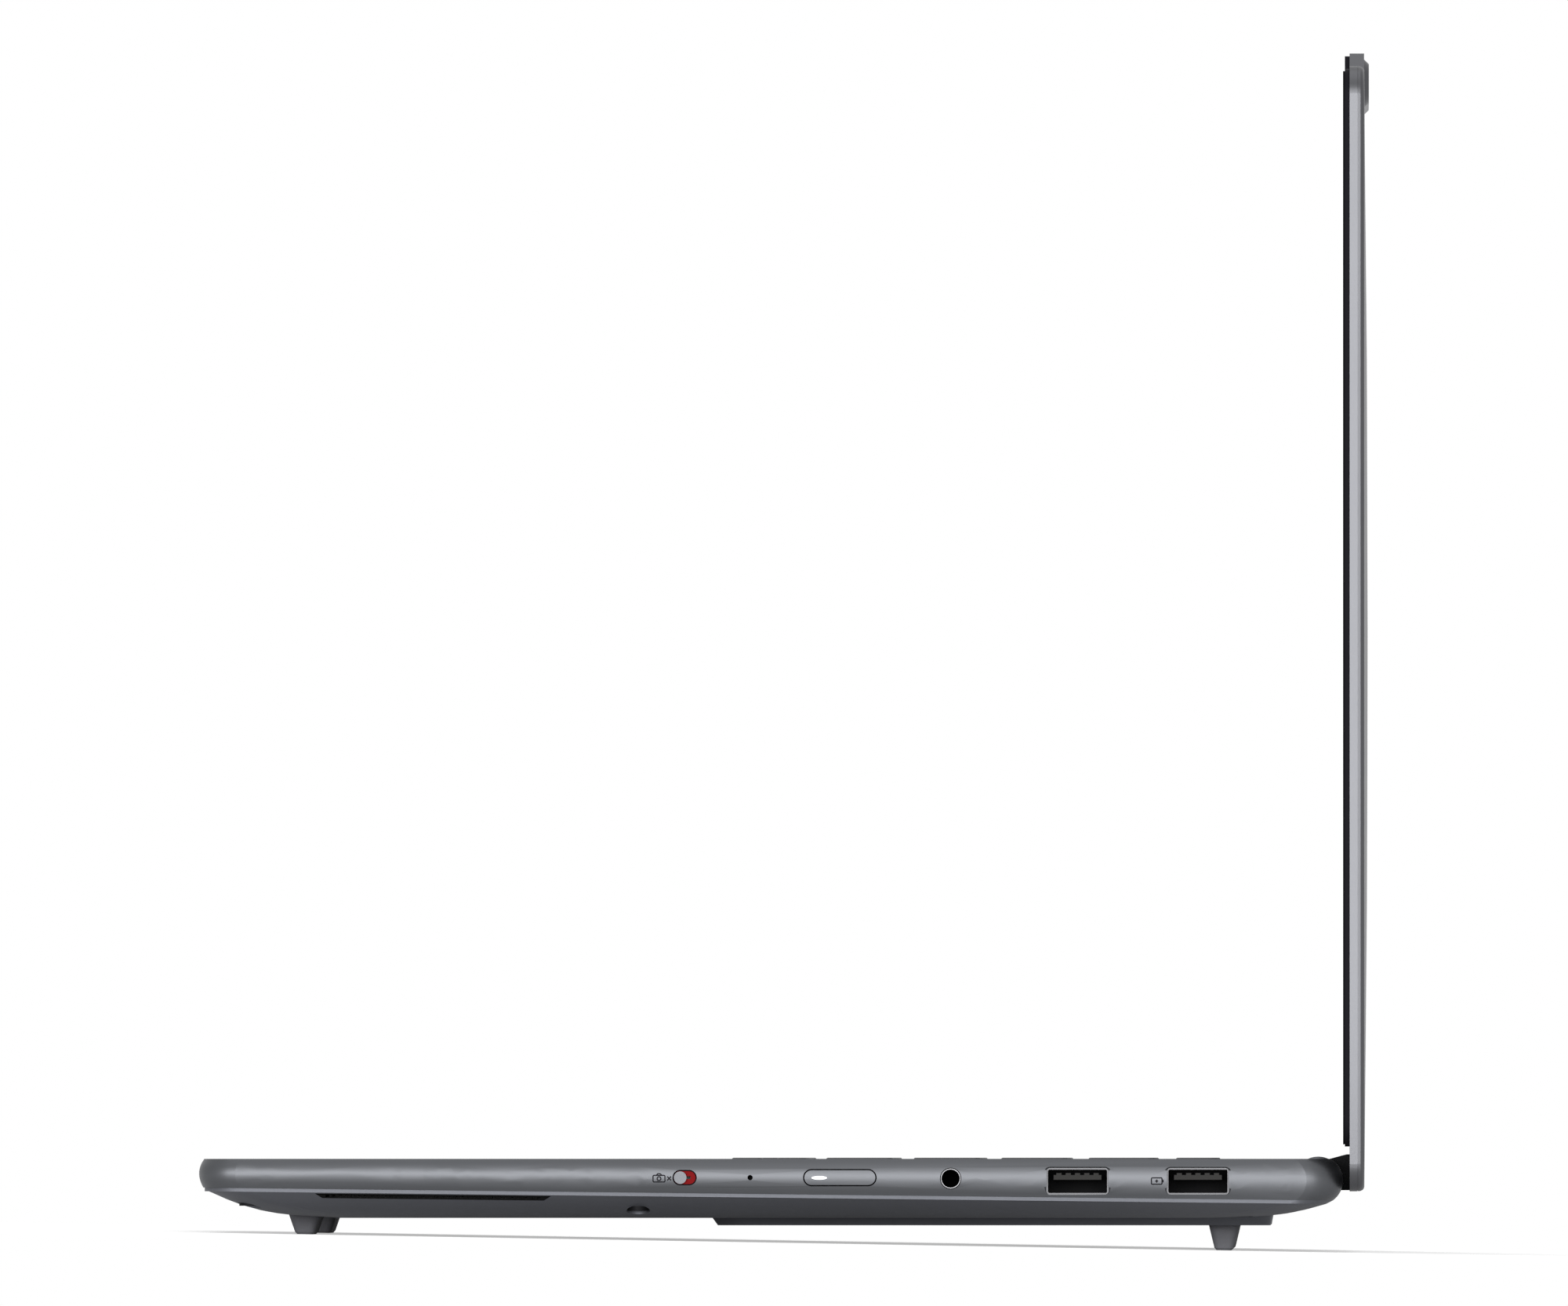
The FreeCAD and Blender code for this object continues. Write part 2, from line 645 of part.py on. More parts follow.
def key_places():
    """Every key as its node and its sides x0, x1, y0, y1."""
    places = []
    front = KEY_ROW_FRONT
    for number, row in enumerate(KEY_ROWS):
        depth = KEY_DEPTH
        if number == 0:
            depth = FRONT_KEY_DEPTH
        if number == len(KEY_ROWS) - 1:
            depth = FUNCTION_KEY_DEPTH
        half = (depth - HALF_KEY_GAP) / 2
        units = sum(sum(widths) for _, widths in row)
        left = -units * KEY_UNIT / 2
        for node, widths in row:
            for place, width in enumerate(widths):
                x0 = left + KEY_GAP / 2
                x1 = left + width * KEY_UNIT - KEY_GAP / 2
                left += width * KEY_UNIT
                if node == "arrow_keys":
                    places.append((node, x0, x1, front, front + half))
                    if place == 1:
                        places.append((node, x0, x1, front + depth - half, front + depth))
                else:
                    places.append((node, x0, x1, front, front + depth))
        front += depth + KEY_GAP
    return places


keys = key_places()
keys_left = min(key[1] for key in keys)
keys_right = max(key[2] for key in keys)
keys_front = min(key[3] for key in keys)
keys_rear = max(key[4] for key in keys)


def pan(grow, z0, z1):
    """Plate the size of the keyboard pan, grown on every side."""
    edge = PAN_MARGIN + grow
    return plate(keys_left - edge, keys_right + edge, keys_front - edge, keys_rear + edge, PAN_CORNER, z0, z1)


def pad_plate(grow, z0, z1):
    """Plate the size of the touchpad, grown on every side."""
    half = PAD_WIDTH / 2 + grow
    return plate(-half, half, PAD_FRONT - grow, PAD_REAR + grow, PAD_CORNER + grow, z0, z1)


# Ports, each drawn on the right-hand side

def port_way(y, z, width, height, corner):
    """Cut through the side wall for a connector's shell, with a flared mouth."""
    fit = 2 * (PORT_SHELL + PORT_GAP)
    way = plug(y, z, width + fit, height + fit, corner + fit / 2, WALL_INNER - OVERCUT, HALF_WIDTH + OVERCUT)

    def mouth(grow, x):
        return outline(y - width / 2 - grow, y + width / 2 + grow, z - height / 2 - grow, z + height / 2 + grow,
                       corner + grow, lambda across, up: V(x, across, up))

    flare = loft([mouth(fit / 2, PORT_MOUTH), mouth(fit / 2 + 2 * PORT_FLARE, PORT_MOUTH + 2 * PORT_FLARE)],
                 ruled=True)
    return [way, flare]


def shell_port(y, width, height, corner, tongue_width, tongue, tongue_z, contacts):
    """Connector: a thin metal shell with a closed back and a tongue inside that carries contacts."""
    shell = plug(y, PORT_Z, width + 2 * PORT_SHELL, height + 2 * PORT_SHELL, corner + PORT_SHELL,
                 PORT_INNER, PORT_MOUTH)
    hollow = plug(y, PORT_Z, width, height, corner, PORT_INNER + PORT_BACK, PORT_MOUTH)
    blade = plug(y, tongue_z, tongue_width, tongue, 0, PORT_INNER + PORT_BACK / 2, PORT_MOUTH - TONGUE_SETBACK)
    bars = []
    for number in range(contacts):
        bar_y = y + (number - (contacts - 1) / 2) * CONTACT_PITCH
        tip = PORT_MOUTH - 2 * TONGUE_SETBACK
        bars.append(block(tip - CONTACT_LENGTH, tip, bar_y - CONTACT_WIDTH / 2, bar_y + CONTACT_WIDTH / 2,
                          tongue_z, tongue_z + tongue / 2 + CONTACT_RISE))
    return shell.cut(hollow).fuse([blade] + bars).removeSplitter()


def video_section(grow):
    """Corners of the video socket, with its two lower corners cut off, grown on every side."""
    half = VIDEO_WIDTH / 2 + grow
    top = PORT_Z + VIDEO_HEIGHT / 2 + grow
    foot = PORT_Z - VIDEO_HEIGHT / 2 - grow
    cut = VIDEO_CHAMFER
    return [(VIDEO_Y - half, top), (VIDEO_Y + half, top), (VIDEO_Y + half, foot + cut),
            (VIDEO_Y + half - cut, foot), (VIDEO_Y - half + cut, foot), (VIDEO_Y - half, foot + cut)]


# Top case: deck, side walls, rear knuckles and keyboard pan

case_form = loft([case_section(step / (CASE_SECTIONS - 1)) for step in range(CASE_SECTIONS)])


def make_top_case():
    cavity = plate(-WALL_INNER, WALL_INNER, CASE_WALL, CAVITY_REAR, CAVITY_CORNER, -FAR, -DECK_THICKNESS)
    case = case_form.cut([cavity, throat(-DECK_THICKNESS)] + trough())
    pan_block = pan(PAN_LEDGE, -PAN_DEPTH - PAN_FLOOR, -DECK_THICKNESS / 2)
    bump_end = HALF_WIDTH - PLAN_CORNER
    bump_tip = Part.makeCone(BUMP_RADIUS, HINGE_DROP, BUMP_RADIUS - HINGE_DROP, V(bump_end, HINGE_Y, HINGE_Z),
                             V(1, 0, 0))
    bump = rod(HINGE_Y, HINGE_Z, BUMP_RADIUS, TROUGH_HALF_LENGTH, bump_end).fuse(bump_tip)
    bump = bump.common(block(0, HALF_WIDTH, 0, DEPTH, -DECK_THICKNESS / 2, FAR))
    bosses = [Part.makeCylinder(BOSS_RADIUS, -DECK_THICKNESS / 2 - z - POST_HEIGHT, V(x, y, z + POST_HEIGHT))
              for x, y, z in screw_places]
    case = case.fuse([pan_block] + both_sides([bump]) + bosses)

    cuts = [pan(0, -PAN_DEPTH, FAR)]
    for _, x0, x1, y0, y1 in keys:
        gap = KEY_HOLE_GAP
        cuts.append(plate(x0 - gap, x1 + gap, y0 - gap, y1 + gap, KEY_CORNER + gap,
                          -PAN_DEPTH - PAN_FLOOR - OVERCUT, OVERCUT))
    cuts.append(pad_plate(PAD_GAP, -FAR, FAR))
    for y in TYPE_A_PLACES:
        cuts += port_way(y, PORT_Z, TYPE_A_WIDTH, TYPE_A_HEIGHT, PORT_CORNER)
    cuts.append(rod(JACK_Y, JACK_Z, JACK_NOSE_RADIUS + JACK_HOLE_GAP, WALL_INNER - OVERCUT,
                    HALF_WIDTH + OVERCUT))
    cuts.append(plug(SHUTTER_Y, CONTROL_Z, SHUTTER_LENGTH, SHUTTER_HEIGHT, SHUTTER_HEIGHT / 2,
                     WALL_INNER - OVERCUT, HALF_WIDTH + OVERCUT))
    cuts.append(rod(RESET_Y, CONTROL_Z, RESET_HOLE_RADIUS, WALL_INNER - OVERCUT, HALF_WIDTH + OVERCUT))
    power_height = POWER_HEIGHT + 2 * POWER_GAP
    cuts.append(plug(POWER_Y, CONTROL_Z, POWER_LENGTH + 2 * POWER_GAP, power_height, power_height / 2,
                     WALL_INNER - OVERCUT, HALF_WIDTH + OVERCUT))
    left = [profile(video_section(PORT_SHELL + PORT_GAP), WALL_INNER - OVERCUT, HALF_WIDTH + OVERCUT)]
    for y in TYPE_C_PLACES:
        left += port_way(y, PORT_Z, TYPE_C_WIDTH, TYPE_C_HEIGHT, TYPE_C_HEIGHT / 2)
    cuts += [mirrored(shape) for shape in left]
    hinge_seat = [
        rod(HINGE_Y, HINGE_Z, HINGE_BARREL_RADIUS + HINGE_SEAT_GAP, TROUGH_HALF_LENGTH - OVERCUT,
            TROUGH_HALF_LENGTH + HINGE_BARREL_LENGTH + HINGE_SEAT_GAP),
        block(TROUGH_HALF_LENGTH - OVERCUT, TROUGH_HALF_LENGTH + BRACKET_WIDTH + HINGE_SEAT_GAP,
              CAVITY_REAR - OVERCUT, HINGE_Y, HINGE_Z + BRACKET_RISE - HINGE_SEAT_GAP,
              HINGE_Z + BRACKET_RISE + BRACKET_THICKNESS + HINGE_SEAT_GAP),
    ]
    cuts += both_sides(hinge_seat)
    for x, y, z in screw_places:
        cuts.append(Part.makeCylinder(SCREW_RADIUS, SCREW_LENGTH, V(x, y, z)))
    return case.cut(cuts)


parts["top_case"] = make_top_case()


# Bottom cover with its screw posts, vents and speaker slots

def vent_slots():
    """Rows of round-ended intake slots under both fans."""
    slots = []
    for side in (1, -1):
        for column in range(VENT_COLUMNS):
            x = side * FAN_X + (column - (VENT_COLUMNS - 1) / 2) * VENT_PITCH
            for start in (FAN_Y + VENT_ROW_GAP / 2, FAN_Y - VENT_ROW_GAP / 2 - VENT_LENGTH):
                slots.append(plate(x - VENT_WIDTH / 2, x + VENT_WIDTH / 2, start, start + VENT_LENGTH,
                                   VENT_WIDTH / 2, -PLATEAU_DEPTH - OVERCUT,
                                   COVER_WALL - PLATEAU_DEPTH + OVERCUT))
    return slots


def speaker_slot(x0, x1):
    """Slot with leaning ends below the rim, in line with the parting plane."""
    def height(y, drop):
        return -parting(y) - SLOT_DROP - drop

    front = SLOT_FRONT + SLOT_LEAN
    rear = SLOT_REAR - SLOT_LEAN
    return profile([(SLOT_FRONT, height(SLOT_FRONT, 0)), (SLOT_REAR, height(SLOT_REAR, 0)),
                    (rear, height(rear, SLOT_HEIGHT)), (front, height(front, SLOT_HEIGHT))], x0, x1)


def make_bottom_cover():
    cover = cover_form.cut(cover_inside)
    posts = [Part.makeCylinder(POST_RADIUS, POST_HEIGHT + POST_RADIUS, V(x, y, z - POST_RADIUS))
             for x, y, z in screw_places]
    cover = cover.fuse([post.common(cover_form) for post in posts])
    cuts = trough() + vent_slots()
    for x, y, z in screw_places:
        head = Part.makeCylinder(SCREW_HEAD_RADIUS + SCREW_CLEARANCE, FAR + SCREW_HEAD_HEIGHT, V(x, y, z - FAR))
        cuts.append(head)
        cuts.append(Part.makeCylinder(SCREW_RADIUS + SCREW_CLEARANCE, FAR, V(x, y, z)))
    cuts += both_sides([speaker_slot(HALF_WIDTH - BELLY_REACH_SIDE, HALF_WIDTH)])
    return cover.cut(cuts)


parts["bottom_cover"] = make_bottom_cover()


def make_screws():
    screws = []
    for x, y, z in screw_places:
        head = Part.makeCylinder(SCREW_HEAD_RADIUS, SCREW_HEAD_HEIGHT, V(x, y, z))
        shank = Part.makeCylinder(SCREW_RADIUS, SCREW_LENGTH, V(x, y, z))
        screws.append(head.fuse(shank))
    return Part.makeCompound(screws)


parts["bottom_screws"] = make_screws()


# Feet: tapered rubber bars whose soles lie on the table

def foot(x0, x1, y, top):
    def sole(y):
        lean = (REAR_FOOT_DROP - FRONT_FOOT_DROP) / (REAR_FOOT_Y - FRONT_FOOT_Y)
        return -FRONT_FOOT_DROP - (y - FRONT_FOOT_Y) * lean

    def ring(half, height):
        inset = FOOT_TOP_WIDTH / 2 - half
        return outline(x0 + inset, x1 - inset, y - half, y + half, FOOT_ROUNDING * half,
                       lambda x, y: V(x, y, height(y)))

    tip = FOOT_TIP_WIDTH / 2
    bar = loft([ring(FOOT_TOP_WIDTH / 2, lambda y: top), ring(tip + FOOT_EDGE, lambda y: sole(y) + FOOT_EDGE),
                ring(tip, sole)], ruled=True)
    return bar.cut(cover_form)


parts["rear_foot"] = foot(-REAR_FOOT_LENGTH / 2, REAR_FOOT_LENGTH / 2, REAR_FOOT_Y, COVER_WALL - PLATEAU_DEPTH)
parts["front_feet"] = Part.makeCompound(both_sides([
    foot(FRONT_FOOT_X - FRONT_FOOT_LENGTH / 2, FRONT_FOOT_X + FRONT_FOOT_LENGTH / 2, FRONT_FOOT_Y,
         COVER_WALL - BELLY_DEPTH)]))


# Keyboard

def make_keys():
    caps = {}
    for node, x0, x1, y0, y1 in keys:
        foot_ring = outline(x0, x1, y0, y1, KEY_CORNER, lambda x, y: V(x, y, KEY_FOOT))
        top_ring = outline(x0 + KEY_DRAFT, x1 - KEY_DRAFT, y0 + KEY_DRAFT, y1 - KEY_DRAFT, KEY_CORNER,
                           lambda x, y: V(x, y, KEY_TOP))
        caps.setdefault(node, []).append(loft([foot_ring, top_ring], ruled=True))
    return caps


for key_node, key_caps in make_keys().items():
    parts[key_node] = key_caps[0] if len(key_caps) == 1 else Part.makeCompound(key_caps)


def make_dome_mat():
    sheet = pan(0, KEY_PLATE_TOP, DOME_SHEET_TOP)
    domes = []
    for _, x0, x1, y0, y1 in keys:
        domes.append(Part.makeCone(DOME_RADIUS, DOME_TIP_RADIUS, KEY_FOOT - DOME_SHEET_TOP,
                                   V((x0 + x1) / 2, (y0 + y1) / 2, DOME_SHEET_TOP)))
    return sheet.fuse(domes)


def make_keyboard_plate():
    """Steel plate under the dome mat, with an upturned edge that seats under the pan."""
    edge = pan(PAN_LEDGE, KEY_PLATE_FOOT, -PAN_DEPTH - PAN_FLOOR)
    return edge.cut(pan(0, KEY_PLATE_TOP, FAR))


parts["key_dome_mat"] = make_dome_mat()
parts["keyboard_plate"] = make_keyboard_plate()


# Touchpad and the frame that carries it

def make_touchpad():
    pad = pad_plate(0, PAD_FOOT, -PAD_SET)
    reach = PAD_WIDTH / 2 - PAD_CORNER
    bead = rod(PAD_BEAD_Y, -PAD_BEAD_DROP, PAD_BEAD_RADIUS, -reach, reach)
    neck = block(-reach, reach, PAD_BEAD_Y - PAD_BEAD_RADIUS / 2, PAD_BEAD_Y + PAD_BEAD_RADIUS / 2,
                 -PAD_BEAD_DROP, PAD_FOOT)
    return pad.fuse([bead, neck]).removeSplitter()


def make_touchpad_frame():
    foot_z = -PAD_FRAME_DEPTH
    floor_z = foot_z + PAD_FRAME_FLOOR
    tray = pad_plate(PAD_GAP + PAD_FRAME_WALL, foot_z, -DECK_THICKNESS)
    inside = pad_plate(PAD_GAP, floor_z, FAR)
    reach = PAD_WIDTH / 2 - PAD_CORNER
    bearing = block(-reach, reach, PAD_BEAD_Y - 2 * PAD_BEAD_RADIUS, PAD_BEAD_Y + 2 * PAD_BEAD_RADIUS,
                    foot_z, -PAD_BEAD_DROP)
    button = Part.makeCylinder(PAD_BUTTON_RADIUS, PAD_FOOT - PAD_CLICK - PAD_BEAD_GAP - foot_z,
                               V(0, PAD_FRONT + 2 * PAD_BUTTON_RADIUS, foot_z))
    groove = rod(PAD_BEAD_Y, -PAD_BEAD_DROP, PAD_BEAD_RADIUS + PAD_BEAD_GAP, -reach, reach)
    return tray.cut(inside).fuse([bearing, button]).cut(groove)


parts["touchpad"] = make_touchpad()
parts["touchpad_frame"] = make_touchpad_frame()


# Controls in the right-hand wall

def make_shutter_window():
    fit = 2 * SLIDE_GAP
    window = plug(SHUTTER_Y, CONTROL_Z, SHUTTER_LENGTH, SHUTTER_HEIGHT, SHUTTER_HEIGHT / 2, WALL_INNER,
                  HALF_WIDTH - SHUTTER_SET)
    slot = plug(SHUTTER_Y, CONTROL_Z, SHUTTER_TRAVEL + SHUTTER_STEM + fit, SHUTTER_STEM + fit, 0,
                WALL_INNER - OVERCUT, HALF_WIDTH)
    return window.cut(slot)


def make_shutter_slider():
    y = SHUTTER_Y - SHUTTER_TRAVEL / 2
    knob = rod(y, CONTROL_Z, SHUTTER_KNOB_RADIUS, HALF_WIDTH - SHUTTER_SET + SLIDE_GAP, HALF_WIDTH - SLIDE_GAP)
    stem = plug(y, CONTROL_Z, SHUTTER_STEM, SHUTTER_STEM, 0, CONTROL_BACK,
                HALF_WIDTH - SHUTTER_SET + 2 * SLIDE_GAP)
    carrier = plug(y, CONTROL_Z, SHUTTER_CARRIER, SHUTTER_CARRIER, 0, CONTROL_BACK,
                   CONTROL_BACK + CONTROL_FLANGE)
    return knob.fuse([stem, carrier])


def make_power_button():
    wall = case_form.copy()
    wall.translate(V(-POWER_SET, 0, 0))
    cap = plug(POWER_Y, CONTROL_Z, POWER_LENGTH, POWER_HEIGHT, POWER_HEIGHT / 2, CONTROL_BACK,
               HALF_WIDTH + OVERCUT)
    cap = cap.common(wall)
    lip = 2 * (POWER_GAP + CONTROL_FLANGE_LIP)
    flange = plug(POWER_Y, CONTROL_Z, POWER_LENGTH + lip, POWER_HEIGHT + lip, (POWER_HEIGHT + lip) / 2,
                  CONTROL_BACK, CONTROL_BACK + CONTROL_FLANGE)
    return cap.fuse(flange).removeSplitter()


def make_reset_button():
    return rod(RESET_Y, CONTROL_Z, RESET_PIN_RADIUS, CONTROL_BACK - CONTROL_FLANGE, WALL_INNER - SLIDE_GAP)


parts["shutter_window"] = make_shutter_window()
parts["shutter_slider"] = make_shutter_slider()
parts["power_button"] = make_power_button()
parts["reset_button"] = make_reset_button()


# Ports

def make_audio_jack():
    mouth = WALL_INNER - SLIDE_GAP
    body = block(mouth - JACK_BORE_LENGTH, mouth, JACK_Y - JACK_BODY / 2, JACK_Y + JACK_BODY / 2,
                 SIDE_BOARD_TOP, JACK_Z + JACK_NOSE_RADIUS)
    collar = rod(JACK_Y, JACK_Z, JACK_NOSE_RADIUS, mouth, PORT_MOUTH)
    bore = rod(JACK_Y, JACK_Z, JACK_BORE, mouth - JACK_BORE_LENGTH, PORT_MOUTH)
    return body.fuse(collar).cut(bore)


def make_video_port():
    shell = profile(video_section(PORT_SHELL), PORT_INNER, PORT_MOUTH)
    hollow = profile(video_section(0), PORT_INNER + PORT_BACK, PORT_MOUTH)
    tongue = plug(VIDEO_Y, PORT_Z, VIDEO_TONGUE_WIDTH, VIDEO_TONGUE, 0, PORT_INNER + PORT_BACK / 2,
                  PORT_MOUTH - TONGUE_SETBACK)
    return mirrored(shell.cut(hollow).fuse(tongue).removeSplitter())


type_a_tongue_z = PORT_Z + TYPE_A_HEIGHT / 2 - TYPE_A_TONGUE_TOP - TYPE_A_TONGUE / 2
parts["type_a_ports"] = Part.makeCompound([
    shell_port(y, TYPE_A_WIDTH, TYPE_A_HEIGHT, PORT_CORNER, TYPE_A_TONGUE_WIDTH, TYPE_A_TONGUE, type_a_tongue_z,
               TYPE_A_CONTACTS)
    for y in TYPE_A_PLACES])
parts["type_c_ports"] = Part.makeCompound([
    mirrored(shell_port(y, TYPE_C_WIDTH, TYPE_C_HEIGHT, TYPE_C_HEIGHT / 2, TYPE_C_TONGUE_WIDTH, TYPE_C_TONGUE,
                        PORT_Z, 0))
    for y in TYPE_C_PLACES])
parts["audio_jack"] = make_audio_jack()
parts["video_port"] = make_video_port()


# Port boards along the sides, with the stands and switches on them

def board_stand(x, y, board_foot, top):
    """Round stand that hangs a board from what is above it."""
    foot_z = board_foot + BOARD_THICKNESS / 2
    return Part.makeCylinder(BOARD_STAND_RADIUS, top - foot_z, V(x, y, foot_z))


def side_board(front, rear):
    """Narrow board with a stand near each end of its inner edge."""
    inner = SIDE_BOARD_OUTER - SIDE_BOARD_WIDTH
    board_foot = SIDE_BOARD_TOP - BOARD_THICKNESS
    board = block(inner, SIDE_BOARD_OUTER, front, rear, board_foot, SIDE_BOARD_TOP)
    stands = [board_stand(inner + BOARD_STAND_INSET, y, board_foot, -DECK_THICKNESS)
              for y in (front + BOARD_STAND_INSET, rear - BOARD_STAND_INSET)]
    return board.fuse(stands)


def make_right_board():
    board = side_board(SIDE_BOARD_FRONT, SIDE_BOARD_REAR)
    stand_depth = 2 * CONTROL_FLANGE
    power_switch = block(SIDE_BOARD_OUTER - stand_depth, SIDE_BOARD_OUTER, POWER_Y - POWER_HEIGHT,
                         POWER_Y + POWER_HEIGHT, SIDE_BOARD_TOP - BOARD_THICKNESS / 2,
                         CONTROL_Z + POWER_HEIGHT / 2)
    shutter_switch = block(SIDE_BOARD_OUTER - stand_depth, SIDE_BOARD_OUTER, SHUTTER_Y - SHUTTER_LENGTH / 2,
                           SHUTTER_Y + SHUTTER_LENGTH / 2, SIDE_BOARD_TOP - BOARD_THICKNESS / 2,
                           CONTROL_Z + SHUTTER_HEIGHT / 2)
    guide = block(SIDE_BOARD_OUTER - stand_depth, CONTROL_BACK, RESET_Y - 2 * RESET_PIN_RADIUS,
                  RESET_Y + 2 * RESET_PIN_RADIUS, SIDE_BOARD_TOP - BOARD_THICKNESS / 2,
                  CONTROL_Z + 2 * RESET_PIN_RADIUS)
    guide_bore = rod(RESET_Y, CONTROL_Z, RESET_PIN_RADIUS + SLIDE_GAP,
                     CONTROL_BACK - CONTROL_FLANGE - RESET_TRAVEL - SLIDE_GAP, HALF_WIDTH)
    return board.fuse([power_switch, shutter_switch, guide]).cut(guide_bore)


def make_left_board():
    board = side_board(SIDE_BOARD_LEFT_FRONT, SIDE_BOARD_REAR)
    stands = []
    for y in TYPE_C_PLACES:
        stands.append(block(PORT_INNER, SIDE_BOARD_OUTER, y - TYPE_C_WIDTH / 2, y + TYPE_C_WIDTH / 2,
                            SIDE_BOARD_TOP - BOARD_THICKNESS / 2, PORT_Z - TYPE_C_HEIGHT / 2 - PORT_SHELL))
    stands.append(block(PORT_INNER, SIDE_BOARD_OUTER, VIDEO_Y - VIDEO_WIDTH / 2 + VIDEO_CHAMFER,
                        VIDEO_Y + VIDEO_WIDTH / 2 - VIDEO_CHAMFER, SIDE_BOARD_TOP - BOARD_THICKNESS / 2,
                        PORT_Z - VIDEO_HEIGHT / 2 - PORT_SHELL))
    return mirrored(board.fuse(stands).removeSplitter())


parts["port_board_right"] = make_right_board()
parts["port_board_left"] = make_left_board()


# Cooling, drawn on the right-hand side

def make_fan_housing():
    outer = FAN_WALL_RADIUS + FAN_SHELL
    centre = V(FAN_X, FAN_Y, -FAN_BOTTOM)
    height = FAN_BOTTOM - FAN_TOP
    body = Part.makeCylinder(outer, height, centre).fuse(
        block(FAN_X - outer, FAN_X + outer, FAN_Y, FAN_REAR, -FAN_BOTTOM, -FAN_TOP))
    inner_foot = FAN_SHELL - FAN_BOTTOM
    inner_height = height - 2 * FAN_SHELL
    outlet = block(FAN_X - FAN_WALL_RADIUS, FAN_X + FAN_WALL_RADIUS, FAN_Y, FAN_REAR + OVERCUT, inner_foot,
                   -FAN_TOP - FAN_SHELL)
    room = Part.makeCylinder(FAN_WALL_RADIUS, inner_height, V(FAN_X, FAN_Y, inner_foot)).fuse(outlet)
    inlet = Part.makeCylinder(FAN_INLET_RADIUS, FAN_SHELL, centre)
    spindle = Part.makeCylinder(SPINDLE_RADIUS, inner_height + FAN_SHELL / 2,
                                V(FAN_X, FAN_Y, inner_foot))
    return body.cut([room, inlet]).fuse(spindle).removeSplitter()


def make_impeller():
    low = FAN_SHELL + FAN_CLEARANCE - FAN_BOTTOM
    high = -FAN_TOP - FAN_SHELL - FAN_CLEARANCE
    centre = V(FAN_X, FAN_Y, low)
    hub = Part.makeCylinder(FAN_HUB_RADIUS, high - low, centre)
    blades = []
    for number in range(FAN_BLADES):
        blade = block(0, FAN_RADIUS - FAN_HUB_RADIUS, -FAN_BLADE / 2, FAN_BLADE / 2, 0, high - low)
        blade.rotate(V(0, 0, 0), V(0, 0, 1), FAN_BLADE_LEAN)
        blade.translate(V(FAN_HUB_RADIUS - BLADE_ROOT, 0, 0))
        blade.rotate(V(0, 0, 0), V(0, 0, 1), 360 * number / FAN_BLADES)
        blade.translate(centre)
        blades.append(blade)
    bore = Part.makeCylinder(SPINDLE_RADIUS + SPINDLE_GAP, high - low, centre)
    return hub.fuse(blades).cut(bore)


def make_fin_stack():
    half = FAN_WALL_RADIUS + FAN_SHELL
    top = -FAN_TOP
    foot_z = PIPE_TOP + FIN_PIPE_GAP
    stack = block(FAN_X - half, FAN_X + half, FIN_FRONT, FIN_REAR, PIPE_TOP, top)
    count = int((2 * half - FIN_PITCH) // FIN_PITCH)
    first = FAN_X - (count - 1) * FIN_PITCH / 2
    slots = [block(first + number * FIN_PITCH - FIN_SLOT / 2, first + number * FIN_PITCH + FIN_SLOT / 2,
                   FIN_FRONT - OVERCUT, FIN_REAR + OVERCUT, foot_z + FIN_PIPE_GAP, top - 2 * FIN_PIPE_GAP)
             for number in range(count)]
    return stack.cut(slots)


def make_heat_pipe(side, start_y):
    """Flat pipe from the spreader along the rear under one fin stack."""
    half = PIPE_WIDTH / 2
    run_y = (FIN_FRONT + FIN_REAR) / 2
    near = FAN_X - FAN_WALL_RADIUS - FAN_SHELL - PIPE_WIDTH
    far = FAN_X + FAN_WALL_RADIUS - PIPE_WIDTH
    route = [(-SPREADER_WIDTH / 3, start_y), (near - (run_y - start_y), start_y), (near, run_y), (far, run_y)]

    def edge(shift):
        """The route moved sideways, with a round bend at each inner corner."""
        turn = shift * (sqrt(2) - 1)
        moved = [(route[0][0], start_y + shift), (route[1][0] - turn, start_y + shift),
                 (near - turn, run_y + shift), (far, run_y + shift)]
        return [V(side * x, y, -FAN_BOTTOM) for x, y in moved]

    outer = edge(half)
    inner = edge(-half)
    strip = Part.Face(Part.makePolygon(outer + inner[::-1] + outer[:1])).extrude(V(0, 0, PIPE_HEIGHT))
    bends = [e for e in strip.Edges if abs(e.Vertexes[0].Z - e.Vertexes[-1].Z) > PIPE_HEIGHT / 2
             and abs(abs(e.Vertexes[0].X) - SPREADER_WIDTH / 3) > 1 and abs(abs(e.Vertexes[0].X) - far) > 1]
    return strip.makeFillet(PIPE_BEND, bends)


parts["fan_housing_right"] = make_fan_housing()
parts["fan_housing_left"] = mirrored(parts["fan_housing_right"])
parts["fan_impeller_right"] = make_impeller()
parts["fan_impeller_left"] = mirrored(parts["fan_impeller_right"])
parts["fin_stacks"] = Part.makeCompound(both_sides([make_fin_stack()]))
parts["heat_pipes"] = Part.makeCompound([make_heat_pipe(1, PROCESSOR_Y + PIPE_WIDTH),
                                         make_heat_pipe(-1, PROCESSOR_Y - PIPE_WIDTH)])
parts["heat_spreader"] = plate(-SPREADER_WIDTH / 2, SPREADER_WIDTH / 2, PROCESSOR_Y - SPREADER_DEPTH / 2,
                               PROCESSOR_Y + SPREADER_DEPTH / 2, BOARD_CORNER, PIPE_TOP, SPREADER_TOP)
parts["processor"] = block(-PROCESSOR_WIDTH / 2, PROCESSOR_WIDTH / 2, PROCESSOR_Y - PROCESSOR_DEPTH / 2,
                           PROCESSOR_Y + PROCESSOR_DEPTH / 2, SPREADER_TOP, PROCESSOR_TOP)


